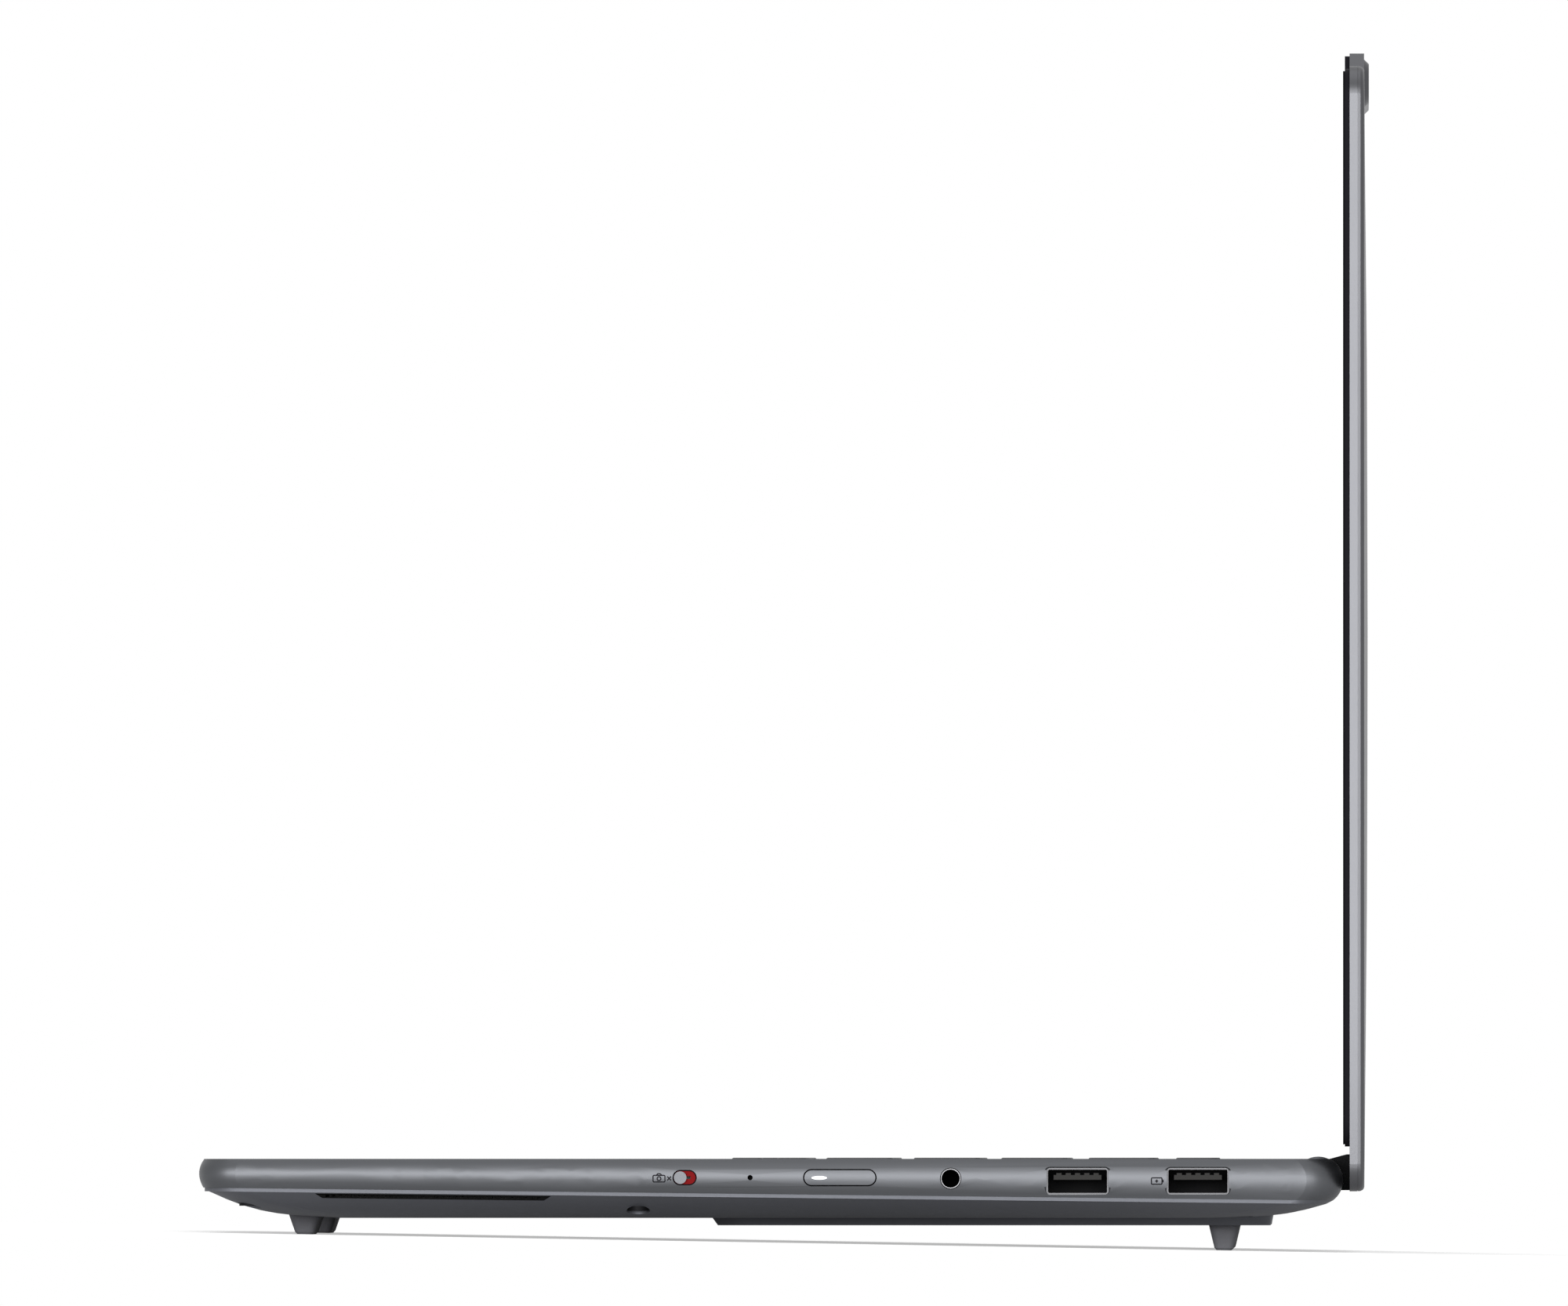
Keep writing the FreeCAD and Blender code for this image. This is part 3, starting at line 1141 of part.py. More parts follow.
def make_vent_grille():
    """Slotted wall between the fins and the trough, standing on the bottom cover under the deck."""
    rear = TROUGH_FRONT - VENT_GRILLE_SETBACK
    front = rear - VENT_GRILLE_THICKNESS
    reach = TROUGH_HALF_LENGTH - VENT_GRILLE_MARGIN
    wall = block(-reach, reach, front, rear, -BELLY_DEPTH, -DECK_THICKNESS)
    count = int((2 * reach - VENT_GRILLE_PITCH) // VENT_GRILLE_PITCH)
    opening = VENT_GRILLE_PITCH - VENT_GRILLE_BAR
    slots = []
    for number in range(count):
        x = (number - (count - 1) / 2) * VENT_GRILLE_PITCH
        slots.append(block(x - opening / 2, x + opening / 2, front - OVERCUT, rear + OVERCUT,
                           -FAN_BOTTOM + VENT_GRILLE_MARGIN, -DECK_THICKNESS - VENT_GRILLE_MARGIN))
    return max(wall.cut([parts["bottom_cover"]] + slots).Solids, key=lambda solid: solid.Volume)


parts["rear_vent_grille"] = make_vent_grille()


# Mainboard, drive, wireless card and memory

def make_mainboard():
    board = plate(-MAINBOARD_HALF_WIDTH, MAINBOARD_HALF_WIDTH, MAINBOARD_FRONT, MAINBOARD_REAR, BOARD_CORNER,
                  MAINBOARD_FOOT, MAINBOARD_FOOT + BOARD_THICKNESS)
    stand_x = MAINBOARD_HALF_WIDTH - BOARD_STAND_INSET
    stands = [board_stand(x, y, MAINBOARD_FOOT, KEY_PLATE_FOOT) for x in (-stand_x, stand_x)
              for y in (MAINBOARD_FRONT + BOARD_STAND_INSET, MAINBOARD_REAR - BOARD_STAND_INSET)]
    sockets = []
    for edge in (DRIVE_LENGTH - MAINBOARD_HALF_WIDTH, MAINBOARD_HALF_WIDTH - CARD_LENGTH - CARD_SOCKET):
        sockets.append(block(edge, edge + CARD_SOCKET, CARD_Y - CARD_WIDTH / 2, CARD_Y + CARD_WIDTH / 2,
                             MAINBOARD_FOOT - 2 * CARD_THICKNESS, MAINBOARD_FOOT + BOARD_THICKNESS / 2))
    return board.fuse(sockets + stands).removeSplitter()


def make_card(x0, length):
    """Plug-in card below the mainboard, held at its socket."""
    return block(x0, x0 + length, CARD_Y - CARD_WIDTH / 2, CARD_Y + CARD_WIDTH / 2,
                 MAINBOARD_FOOT - 2 * CARD_THICKNESS, MAINBOARD_FOOT - CARD_THICKNESS)


def make_memory():
    length, width, height = MEMORY_CHIP
    chips = []
    for number in range(MEMORY_CHIPS):
        x = (number - (MEMORY_CHIPS - 1) / 2) * MEMORY_PITCH
        chips.append(block(x - length / 2, x + length / 2, MEMORY_Y - width / 2, MEMORY_Y + width / 2,
                           MAINBOARD_FOOT - height, MAINBOARD_FOOT))
    return Part.makeCompound(chips)


parts["mainboard"] = make_mainboard()
parts["storage_drive"] = make_card(-MAINBOARD_HALF_WIDTH, DRIVE_LENGTH)
parts["wireless_card"] = make_card(MAINBOARD_HALF_WIDTH - CARD_LENGTH, CARD_LENGTH)
parts["memory_chips"] = make_memory()


# Battery and speakers

def make_battery():
    pack = plate(-BATTERY_HALF_WIDTH, BATTERY_HALF_WIDTH, BATTERY_FRONT, BATTERY_REAR, BATTERY_CORNER,
                 COVER_FLOOR, -BATTERY_TOP)
    pitch = 2 * BATTERY_HALF_WIDTH / BATTERY_CELLS
    grooves = []
    for number in range(1, BATTERY_CELLS):
        x = number * pitch - BATTERY_HALF_WIDTH
        grooves.append(block(x - CELL_GAP / 2, x + CELL_GAP / 2, BATTERY_FRONT - OVERCUT,
                             BATTERY_REAR + OVERCUT, COVER_FLOOR - OVERCUT, COVER_FLOOR + CELL_STEP))
    return pack.cut(grooves)


def make_speaker():
    box = plate(SPEAKER_INNER, SPEAKER_OUTER, SPEAKER_FRONT, SPEAKER_REAR, SPEAKER_CORNER, -SPEAKER_BOTTOM,
                -DECK_THICKNESS)
    centre = V((SPEAKER_INNER + SPEAKER_OUTER) / 2, (SPEAKER_FRONT + SPEAKER_REAR) / 2, -SPEAKER_BOTTOM)
    cone = Part.makeCone(SPEAKER_CONE_RADIUS, SPEAKER_CONE_RADIUS / 2, SPEAKER_CONE_DEPTH, centre)
    return box.cut(cone)


def make_grille():
    """Perforated strip that fills a speaker slot, a little inside its mouth."""
    inner = HALF_WIDTH - BELLY_START - 2 * COVER_WALL
    strip = speaker_slot(inner, inner + GRILLE_THICKNESS)
    count = int((SLOT_REAR - SLOT_FRONT - 2 * SLOT_LEAN) // GRILLE_PITCH)
    middle = (SLOT_FRONT + SLOT_REAR) / 2
    holes = []
    for number in range(count):
        y = middle + (number - (count - 1) / 2) * GRILLE_PITCH
        z = -parting(y) - SLOT_DROP - SLOT_HEIGHT / 2
        holes.append(plug(y, z, GRILLE_HOLE, SLOT_HEIGHT / 2, 0, inner - OVERCUT,
                          inner + GRILLE_THICKNESS + OVERCUT))
    return strip.cut(holes)


parts["battery_pack"] = make_battery()
parts["speakers"] = Part.makeCompound(both_sides([make_speaker()]))
parts["speaker_grilles"] = Part.makeCompound(both_sides([make_grille()]))


# Hinge hardware, drawn on the right-hand side

def make_hinge_bracket():
    """Steel barrel in the case's knuckle, with an arm that runs forward under the deck."""
    start = TROUGH_HALF_LENGTH + HINGE_SEAT_GAP
    barrel = rod(HINGE_Y, HINGE_Z, HINGE_BARREL_RADIUS, start, TROUGH_HALF_LENGTH + HINGE_BARREL_LENGTH)
    arm_foot = HINGE_Z + BRACKET_RISE
    arm = block(start, TROUGH_HALF_LENGTH + BRACKET_WIDTH, BRACKET_FRONT, HINGE_Y, arm_foot,
                arm_foot + BRACKET_THICKNESS)
    pad = block(start, TROUGH_HALF_LENGTH + BRACKET_WIDTH, BRACKET_FRONT, CAVITY_REAR - HINGE_SEAT_GAP,
                arm_foot, -DECK_THICKNESS)
    bore = rod(HINGE_Y, HINGE_Z, HINGE_SHAFT_RADIUS + HINGE_RUN_GAP, start, HALF_WIDTH)
    return barrel.fuse([arm, pad]).cut(bore).removeSplitter()


def lever(gap):
    """Arm of the hinge leaf between the shaft and the lid, grown by a gap."""
    end = BARREL_HALF_LENGTH - COVER_SEAT_GAP
    return block(end - LEVER_LENGTH - gap, end + gap, HINGE_Y, LID_INNER + LID_POCKET_DEPTH / 2,
                 HINGE_Z - LEVER_HEIGHT / 2 - gap, HINGE_Z + LEVER_HEIGHT / 2 + gap)


def leaf_shaft(grow):
    """Hinge shaft from inside the hinge cover to the far end of the barrel in the knuckle."""
    start = BARREL_HALF_LENGTH - COVER_SEAT_GAP - LEVER_LENGTH
    return rod(HINGE_Y, HINGE_Z, HINGE_SHAFT_RADIUS + grow, start - grow,
               TROUGH_HALF_LENGTH + HINGE_BARREL_LENGTH - HINGE_SEAT_GAP)


def make_hinge_leaf():
    end = BARREL_HALF_LENGTH
    leaf = panel(end - LEAF_WIDTH, end, LID_POCKET_WALL + COVER_SEAT_GAP - LID_DROP, LEAF_TOP, LEAF_CORNER,
                 LID_INNER + COVER_SEAT_GAP, LID_INNER + LID_POCKET_DEPTH)
    return leaf_shaft(0).fuse([lever(0), leaf]).removeSplitter()


parts["hinge_bracket_right"] = make_hinge_bracket()
parts["hinge_bracket_left"] = mirrored(parts["hinge_bracket_right"])
parts["hinge_leaf_right"] = make_hinge_leaf()
parts["hinge_leaf_left"] = mirrored(parts["hinge_leaf_right"])


# Lid back cover

def lid_outline(inset, y):
    """Outline of the lid, drawn in by an inset, in the upright plane at y."""
    return outline(inset - LID_HALF, LID_HALF - inset, inset - LID_DROP, LID_TOP - inset, LID_CORNER,
                   lambda x, z: V(x, y, z))


def tab_corners(drop, side):
    """Finger tab in the middle of the lid's top edge, with sloping flanks, lowered by a drop and drawn in."""
    foot_half = TAB_HALF_WIDTH - side
    top_half = foot_half - TAB_FLANK
    root_z = LID_TOP - LID_CORNER
    foot_z = LID_TOP - drop
    top_z = foot_z + TAB_RISE
    return [(-foot_half, root_z), (foot_half, root_z), (foot_half, foot_z), (top_half, top_z),
            (-top_half, top_z), (-foot_half, foot_z)]


def tab(drop, side, y0, y1):
    points = tab_corners(drop, side)
    wire = Part.makePolygon([V(x, y0, z) for x, z in points + points[:1]])
    return Part.Face(wire).extrude(V(0, y1 - y0, 0))


def lid_pocket():
    """Space in the back cover for the display panel and what is around it."""
    wall = LID_POCKET_WALL
    room = panel(wall - LID_HALF, LID_HALF - wall, wall - LID_DROP, LID_TOP - wall, LID_CORNER - wall,
                 LID_INNER - OVERCUT, LID_INNER + LID_POCKET_DEPTH)
    return [room, tab(wall, wall, LID_INNER - OVERCUT, LID_INNER + LID_POCKET_DEPTH)]


def lid_crown():
    """Solid under the back's crown, which rises from nil along the lid's edges to a nearly flat middle."""
    x_end = LID_HALF - LID_ROUND_RUN
    foot_z = LID_ROUND_RUN - LID_DROP
    top_z = LID_TOP - LID_ROUND_RUN
    middle_share = (1 - 2 / 2 ** CROWN_DEGREE) ** 2
    patch = Part.BezierSurface()
    patch.increase(CROWN_DEGREE, CROWN_DEGREE)
    for i in range(CROWN_DEGREE + 1):
        for j in range(CROWN_DEGREE + 1):
            inside = 0 < i < CROWN_DEGREE and 0 < j < CROWN_DEGREE
            lift = LID_CROWN / middle_share if inside else 0
            x = x_end * (2 * i / CROWN_DEGREE - 1)
            z = foot_z + (top_z - foot_z) * j / CROWN_DEGREE
            patch.setPole(i + 1, j + 1, V(x, LID_RIM + lift, z))
    return patch.toShape().extrude(V(0, -LID_ROUND_RISE, 0))


def make_lid_back():
    edge_end = LID_INNER + LID_EDGE
    groove_end = edge_end + LID_GROOVE
    edge = Part.Face(lid_outline(0, LID_INNER)).extrude(V(0, LID_EDGE, 0))
    groove = Part.Face(lid_outline(LID_GROOVE, edge_end)).extrude(V(0, LID_GROOVE, 0))
    rise = LID_RIM - groove_end
    turns = [pi / 2 * step / LID_ROUND_STEPS for step in range(LID_ROUND_STEPS + 1)]
    rounding = loft([lid_outline(LID_ROUND_RUN * (1 - cos(turn)), groove_end + rise * sin(turn)) for turn in turns],
                    ruled=True)
    crown = Part.Face(lid_outline(LID_ROUND_RUN, groove_end)).extrude(V(0, FAR, 0)).common(lid_crown())
    bar_top = LID_TOP + TAB_RISE - CAMERA_BAR_TOP_GAP

    def bar_outline(inset, y):
        return outline(inset - CAMERA_BAR_HALF_WIDTH, CAMERA_BAR_HALF_WIDTH - inset,
                       bar_top - CAMERA_BAR_HEIGHT + inset, bar_top - inset, CAMERA_BAR_CORNER,
                       lambda x, z: V(x, y, z))

    bar_face = bar_outline(CAMERA_BAR_SLOPE, LID_RIM + CAMERA_BAR_THICKNESS)
    bar = loft([bar_outline(0, groove_end), bar_outline(0, LID_RIM), bar_face], ruled=True)
    form = edge.fuse([groove, rounding, crown, bar, tab(0, 0, LID_INNER, LID_RIM)])
    return form.cut(lid_pocket())


parts["lid_back_cover"] = make_lid_back()


# Screen: bezel frame, gasket, panel and camera

def screen_opening(y0, y1):
    return block(-SCREEN_WIDTH / 2, SCREEN_WIDTH / 2, y0, y1, SCREEN_FOOT, SCREEN_TOP)


panel_top = SCREEN_TOP + PANEL_BORDER
panel_foot = SCREEN_FOOT - PANEL_CHIN
camera_z = panel_top + CAMERA_MODULE_MARGIN + CAMERA_RADIUS + CAMERA_HOLE_GAP


def make_bezel():
    edge = BEZEL_EDGE
    frame = panel(edge - LID_HALF, LID_HALF - edge, BEZEL_FOOT, LID_TOP - edge, LID_CORNER - edge, BEZEL_FACE,
                  LID_INNER)
    frame = frame.fuse(tab(edge, edge, BEZEL_FACE, LID_INNER)).removeSplitter()
    lens = Part.makeCylinder(CAMERA_RADIUS + CAMERA_HOLE_GAP, 2 * BEZEL_THICKNESS,
                             V(0, BEZEL_FACE - BEZEL_THICKNESS / 2, camera_z), V(0, 1, 0))
    return frame.cut([screen_opening(BEZEL_FACE - OVERCUT, LID_INNER + OVERCUT), lens])


def make_gasket():
    edge = BEZEL_EDGE + GASKET_EDGE
    inner = edge + GASKET_WIDTH
    ring = panel(edge - LID_HALF, LID_HALF - edge, BEZEL_FOOT + GASKET_EDGE, LID_TOP - edge, LID_CORNER - edge,
                 LID_FACE, BEZEL_FACE)
    hole = panel(inner - LID_HALF, LID_HALF - inner, BEZEL_FOOT + GASKET_EDGE + GASKET_WIDTH, LID_TOP - inner,
                 LID_CORNER - inner, LID_FACE - OVERCUT, BEZEL_FACE + OVERCUT)
    return ring.cut(hole)


def make_display_panel():
    half = SCREEN_WIDTH / 2 + PANEL_BORDER
    return block(-half, half, LID_INNER, LID_INNER + PANEL_THICKNESS, panel_foot, panel_top)


def make_camera():
    half = CAMERA_MODULE_HALF_WIDTH
    module_top = LID_TOP + TAB_RISE - LID_POCKET_WALL - CAMERA_MODULE_MARGIN
    module = block(-half, half, LID_INNER, LID_INNER + LID_POCKET_DEPTH - CAMERA_MODULE_MARGIN,
                   panel_top + CAMERA_MODULE_MARGIN, module_top)
    lens = Part.makeCylinder(CAMERA_RADIUS, LENS_STAND + BEZEL_THICKNESS / 2,
                             V(0, LID_INNER - LENS_STAND, camera_z), V(0, 1, 0))
    return module.fuse(lens)


parts["screen_bezel"] = make_bezel()
parts["screen_gasket"] = make_gasket()
parts["display_panel"] = make_display_panel()
parts["camera_module"] = make_camera()


# Hinge cover and display cable

def cable_run(gap):
    """Flat cable from the panel down behind the bezel, then forward into the hinge cover's barrel."""
    x0 = CABLE_X - CABLE_WIDTH / 2 - gap
    x1 = CABLE_X + CABLE_WIDTH / 2 + gap
    middle = LID_INNER + LID_POCKET_DEPTH / 2
    half = CABLE_THICKNESS / 2 + gap
    drop = block(x0, x1, middle - half, middle + half, -CABLE_DROP - gap, panel_foot)
    way = block(x0, x1, HINGE_Y, middle, -CABLE_DROP - gap, CABLE_THICKNESS - CABLE_DROP + gap)
    return drop.fuse(way).removeSplitter()


def make_hinge_cover():
    reach = BARREL_HALF_LENGTH
    rear = LID_INNER
    barrel = rod(HINGE_Y, HINGE_Z, BARREL_RADIUS, -reach, reach)
    web = profile([(HINGE_Y, HINGE_Z), (HINGE_Y + WEB_NECK, 0), (rear - WEB_SETBACK, WEB_TOP), (rear, WEB_TOP),
                   (rear, -WEB_FOOT), (HINGE_Y + WEB_NECK + WEB_SETBACK, -WEB_FOOT)], -reach, reach)
    cuts = both_sides([leaf_shaft(HINGE_SEAT_GAP), lever(HINGE_SEAT_GAP)])
    cuts.append(mirrored(cable_run(CABLE_GAP)))
    return barrel.fuse(web).removeSplitter().cut(cuts)


parts["hinge_cover"] = make_hinge_cover()
parts["display_cable"] = mirrored(cable_run(0))


# Standing the part on its feet: the base leans by the rake, and its box is centred over the origin

def place_part():
    whole = Part.makeCompound(list(parts.values()))
    whole.rotate(V(0, 0, 0), V(1, 0, 0), degrees(RAKE))
    box = whole.optimalBoundingBox(False, False)
    return V(-(box.XMin + box.XMax) / 2, -(box.YMin + box.YMax) / 2, -box.ZMin)


SHIFT = place_part()


def stand(shape):
    """A piece in its place on the finished part."""
    placed = shape.copy()
    placed.rotate(V(0, 0, 0), V(1, 0, 0), degrees(RAKE))
    placed.translate(SHIFT)
    return placed


os.makedirs("parts", exist_ok=True)
for part_name, part_shape in parts.items():
    stand(part_shape).exportStep(os.path.join("parts", part_name + ".step"))
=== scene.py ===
import json
import math

import bpy
import numpy as np
from mathutils import Matrix, Vector
from mathutils.bvhtree import BVHTree


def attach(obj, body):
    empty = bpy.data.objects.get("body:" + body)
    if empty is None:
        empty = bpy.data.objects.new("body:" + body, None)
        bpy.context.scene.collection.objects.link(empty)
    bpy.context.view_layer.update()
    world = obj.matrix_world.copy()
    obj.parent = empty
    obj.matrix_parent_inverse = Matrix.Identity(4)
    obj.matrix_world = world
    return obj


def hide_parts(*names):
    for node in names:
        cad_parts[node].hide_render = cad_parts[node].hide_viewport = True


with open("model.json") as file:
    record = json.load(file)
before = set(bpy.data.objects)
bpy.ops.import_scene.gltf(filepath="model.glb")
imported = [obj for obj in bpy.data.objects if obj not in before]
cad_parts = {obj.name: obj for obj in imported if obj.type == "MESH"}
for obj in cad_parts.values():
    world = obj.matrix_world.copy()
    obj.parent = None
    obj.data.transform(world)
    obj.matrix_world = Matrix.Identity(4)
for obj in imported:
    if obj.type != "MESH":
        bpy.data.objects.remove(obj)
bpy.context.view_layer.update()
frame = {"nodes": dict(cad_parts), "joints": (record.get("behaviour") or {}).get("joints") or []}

# Bottom cover: a stamped aluminium tray with a fine sandblasted dark grey anodised skin, screwed to the
# case from below. Slow noise mottles its colour a little, and a fine grain dulls its gloss.
FINE_DETAIL = 3.0
SLOW_SCALE = 45.0
SLOW_DETAIL = 4.0


def skin(name, colour, roughness, metallic=0.0, grain=0.0003, depth=0.02, mottle=0.06, coat=0.0, shine=0.5):
    """Material with a noise grain: grain is the size of a speck in metres, depth the bump's strength,
    mottle how far slow noise moves the colour and fine noise the roughness, and shine the level of the
    bare reflection."""
    material = bpy.data.materials.new(name)
    material.use_nodes = True
    nodes = material.node_tree.nodes
    links = material.node_tree.links
    shader = nodes["Principled BSDF"]
    shader.inputs["Metallic"].default_value = metallic
    shader.inputs["Coat Weight"].default_value = coat
    shader.inputs["Specular IOR Level"].default_value = shine
    place = nodes.new("ShaderNodeTexCoord")
    fine = nodes.new("ShaderNodeTexNoise")
    fine.inputs["Scale"].default_value = 1 / grain
    fine.inputs["Detail"].default_value = FINE_DETAIL
    slow = nodes.new("ShaderNodeTexNoise")
    slow.inputs["Scale"].default_value = SLOW_SCALE
    slow.inputs["Detail"].default_value = SLOW_DETAIL
    tone = nodes.new("ShaderNodeMix")
    tone.data_type = "RGBA"
    tone.inputs["A"].default_value = (*(value * (1 - mottle) for value in colour), 1)
    tone.inputs["B"].default_value = (*(value * (1 + mottle) for value in colour), 1)
    gloss = nodes.new("ShaderNodeMapRange")
    gloss.inputs["To Min"].default_value = roughness * (1 - mottle)
    gloss.inputs["To Max"].default_value = roughness * (1 + mottle)
    bump = nodes.new("ShaderNodeBump")
    bump.inputs["Strength"].default_value = depth
    bump.inputs["Distance"].default_value = grain / 2
    for texture in (fine, slow):
        links.new(place.outputs["Object"], texture.inputs["Vector"])
    links.new(slow.outputs["Fac"], tone.inputs["Factor"])
    links.new(tone.outputs["Result"], shader.inputs["Base Color"])
    links.new(fine.outputs["Fac"], gloss.inputs["Value"])
    links.new(gloss.outputs["Result"], shader.inputs["Roughness"])
    links.new(fine.outputs["Fac"], bump.inputs["Height"])
    links.new(bump.outputs["Normal"], shader.inputs["Normal"])
    return material


def finish_nodes(material, *names):
    """Puts a material on CAD nodes, which keep the normals that they were packed with."""
    for name in names:
        node = frame["nodes"][name]
        node.data.materials.clear()
        node.data.materials.append(material)


cover_paint = skin("cover_paint", (0.112, 0.116, 0.130), 0.60, metallic=0.9)
finish_nodes(cover_paint, "bottom_cover")

# Feet: tapered bars of dark moulded rubber, glued into the bottom cover. Moulding leaves them matte
# with a soft pebbled skin.
foot_rubber = skin("foot_rubber", (0.115, 0.116, 0.128), 0.72, grain=0.0006, depth=0.12, mottle=0.1)
finish_nodes(foot_rubber, "front_feet", "rear_foot")

# Bottom screws: small machined steel screws, blackened and matte, so dark that they also stand for painted
# shade in the recesses they sit in. They are sunk in the cover's posts and hold it to the case.
dark_screw_and_shade = skin("dark_screw_and_shade", (0.012, 0.012, 0.013), 0.6, metallic=1.0)
finish_nodes(dark_screw_and_shade, "bottom_screws")

# Battery: a pack of pouch cells in a black film wrap, laid on the tray. The film is satin with faint
# wrinkles, drawn by a coarse bump.
battery_film = skin("battery_film", (0.02, 0.02, 0.022), 0.4, grain=0.004, depth=0.3)
finish_nodes(battery_film, "battery_pack")

# Speakers and their grilles: moulded black boxes behind a perforated strip in each side of the tray. Both
# are matte. The grilles are near black and hardly reflect, a painted shade for the deep slot they lie in.
speaker_plastic = skin("speaker_plastic", (0.012, 0.012, 0.013), 0.6)
grille_mesh_and_shade = skin("grille_mesh_and_shade", (0.004, 0.004, 0.004), 0.7, shine=0.03)
finish_nodes(speaker_plastic, "speakers")
finish_nodes(grille_mesh_and_shade, "speaker_grilles")

# Boards: green laminate with black chips, hung on stands from the deck and from the keyboard plate. The
# laminate is satin and mottled, and the chips are moulded resin.
board_laminate = skin("board_laminate", (0.008, 0.045, 0.028), 0.4, grain=0.002, depth=0.1, mottle=0.2)
chip_resin = skin("chip_resin", (0.015, 0.015, 0.016), 0.5)
finish_nodes(board_laminate, "mainboard", "port_board_left", "port_board_right")
finish_nodes(board_laminate, "storage_drive", "wireless_card")
finish_nodes(chip_resin, "processor", "memory_chips")

# Cooling: black moulded fans that blow through copper fins and a grille at the rear. Two flat copper pipes
# lead the heat to the fins.
pipe_copper = skin("pipe_copper", (0.75, 0.36, 0.22), 0.3, metallic=1.0, mottle=0.12)
fan_plastic = skin("fan_plastic", (0.014, 0.014, 0.015), 0.5)
finish_nodes(pipe_copper, "heat_pipes", "heat_spreader", "fin_stacks")
finish_nodes(fan_plastic, "fan_housing_left", "fan_housing_right", "fan_impeller_left", "fan_impeller_right")
finish_nodes(fan_plastic, "rear_vent_grille")

# Top case: one machined aluminium piece, sandblasted and anodised dark grey. The bulged side wall takes
# a soft highlight along its middle, so the metal has a low gloss and a very fine grain.
case_metal = skin("case_metal", (0.090, 0.093, 0.100), 0.46, metallic=1.0, grain=0.00025, depth=0.03,
                  mottle=0.03)
finish_nodes(case_metal, "top_case")

# Keyboard: moulded keycaps on a rubber dome mat over a steel plate. Each cap has drafted sides, a rounded
# rim and a flat satin top with a printed legend.
dome_rubber = skin("dome_rubber", (0.03, 0.03, 0.032), 0.6)
plate_steel = skin("plate_steel", (0.25, 0.25, 0.26), 0.4, metallic=1.0)
key_plastic = skin("key_plastic", (0.03, 0.03, 0.033), 0.5, grain=0.0002, depth=0.06)
legend_ink = skin("legend_ink", (0.62, 0.63, 0.65), 0.6, mottle=0.02)
finish_nodes(dome_rubber, "key_dome_mat")
finish_nodes(plate_steel, "keyboard_plate")

# The pieces' places and sizes, from here to the lid, are in mm, in the deck's own axes.
MM_PER_M = 1000
DECK_ABOVE_HINGE = 4.7
FRONT_TO_HINGE = 244.5
KEY_UNIT = 19.05
KEY_GAP = 3.65
KEY_CORNER = 1.8
KEY_DRAFT = 0.45
KEY_ROUND = 0.35
KEY_TOP_INSET = KEY_DRAFT + 3 * KEY_ROUND
HALF_KEY_GAP = 2.2
LEGEND_SIZE = 3.6
WORD_SIZE = 2.3
LEGEND_LIFT = 0.012
RING_POINTS = 40
RIM_STEPS = 5
WORD_RESOLUTION = 3
CREASE_ANGLE = 30


def single_keys(marks):
    """Keys one unit wide, one for each mark."""
    return tuple((1, sign) for sign in marks)


FUNCTION_MARKS = ["Esc"] + ["F%d" % number for number in range(1, 13)] + ["Ins", "Del"]
KEY_ROWS = (
    (("modifier_keys", ((1.25, "Ctrl"), (1, "Fn"), (1, ""), (1.25, "Alt"))),
     ("space_bar", ((5.5, ""),)),
     ("modifier_keys", single_keys(("Alt", "Ctrl"))),
     ("arrow_keys", single_keys("<v>"))),
    (("left_shift_key", ((2.25, "Shift"),)),
     ("lower_letter_keys", single_keys("ZXCVBNM,./")),
     ("right_shift_key", ((2.75, "Shift"),))),
    (("caps_lock_key", ((1.75, "Caps Lock"),)),
     ("home_letter_keys", single_keys("ASDFGHJKL;'")),
     ("enter_key", ((2.25, "Enter"),))),
    (("tab_key", ((1.5, "Tab"),)),
     ("upper_letter_keys", single_keys("QWERTYUIOP[]") + ((1.5, "\\"),))),
    (("number_keys", single_keys("`1234567890-=")),
     ("backspace_key", ((2, "Backspace"),))),
    (("function_keys", single_keys(FUNCTION_MARKS)),),
)

joints = {joint["name"]: joint for joint in frame["joints"]}
hinge_line = np.array(joints["lid_hinge"]["pos_m"])
deck_up = -np.array(joints["space_bar_press"]["axis"])
deck_back = np.cross(deck_up, (1.0, 0.0, 0.0))


def on_deck(x, y, z):
    """Points in the frame for places in mm on the base, which leans a little on its feet: x to the right,
    y back from the base's front edge and z up from the deck's face, along the keys' stroke."""
    x, y, z = np.broadcast_arrays(*(np.asarray(value, float) / MM_PER_M for value in (x, y, z)))
    back = y - FRONT_TO_HINGE / MM_PER_M
    up = z + DECK_ABOVE_HINGE / MM_PER_M
    across = x[..., None] * np.array((1.0, 0.0, 0.0))
    return across + back[..., None] * deck_back + up[..., None] * deck_up + hinge_line


def deck_box(node):
    """A CAD node's box in the deck's millimetres, from its vertices."""
    mesh = frame["nodes"][node].data
    places = np.empty(len(mesh.vertices) * 3)
    mesh.vertices.foreach_get("co", places)
    away = (places.reshape(-1, 3) - hinge_line) * MM_PER_M
    back = away @ deck_back + FRONT_TO_HINGE
    up = away @ deck_up - DECK_ABOVE_HINGE
    local = np.stack((away[:, 0], back, up), 1)
    return local.min(0), local.max(0)


def round_ring(x0, x1, y0, y1, corner, points):
    """Ring of a rectangle with round corners: quarter turns of the corner's radius about its four centres,
    with the same count of points for every size, so that rings can be joined."""
    turn = np.arange(points) * 2 * np.pi / points + np.pi / points
    east = np.where(np.cos(turn) > 0, x1 - corner, x0 + corner)
    north = np.where(np.sin(turn) > 0, y1 - corner, y0 + corner)
    return east + corner * np.cos(turn), north + corner * np.sin(turn)


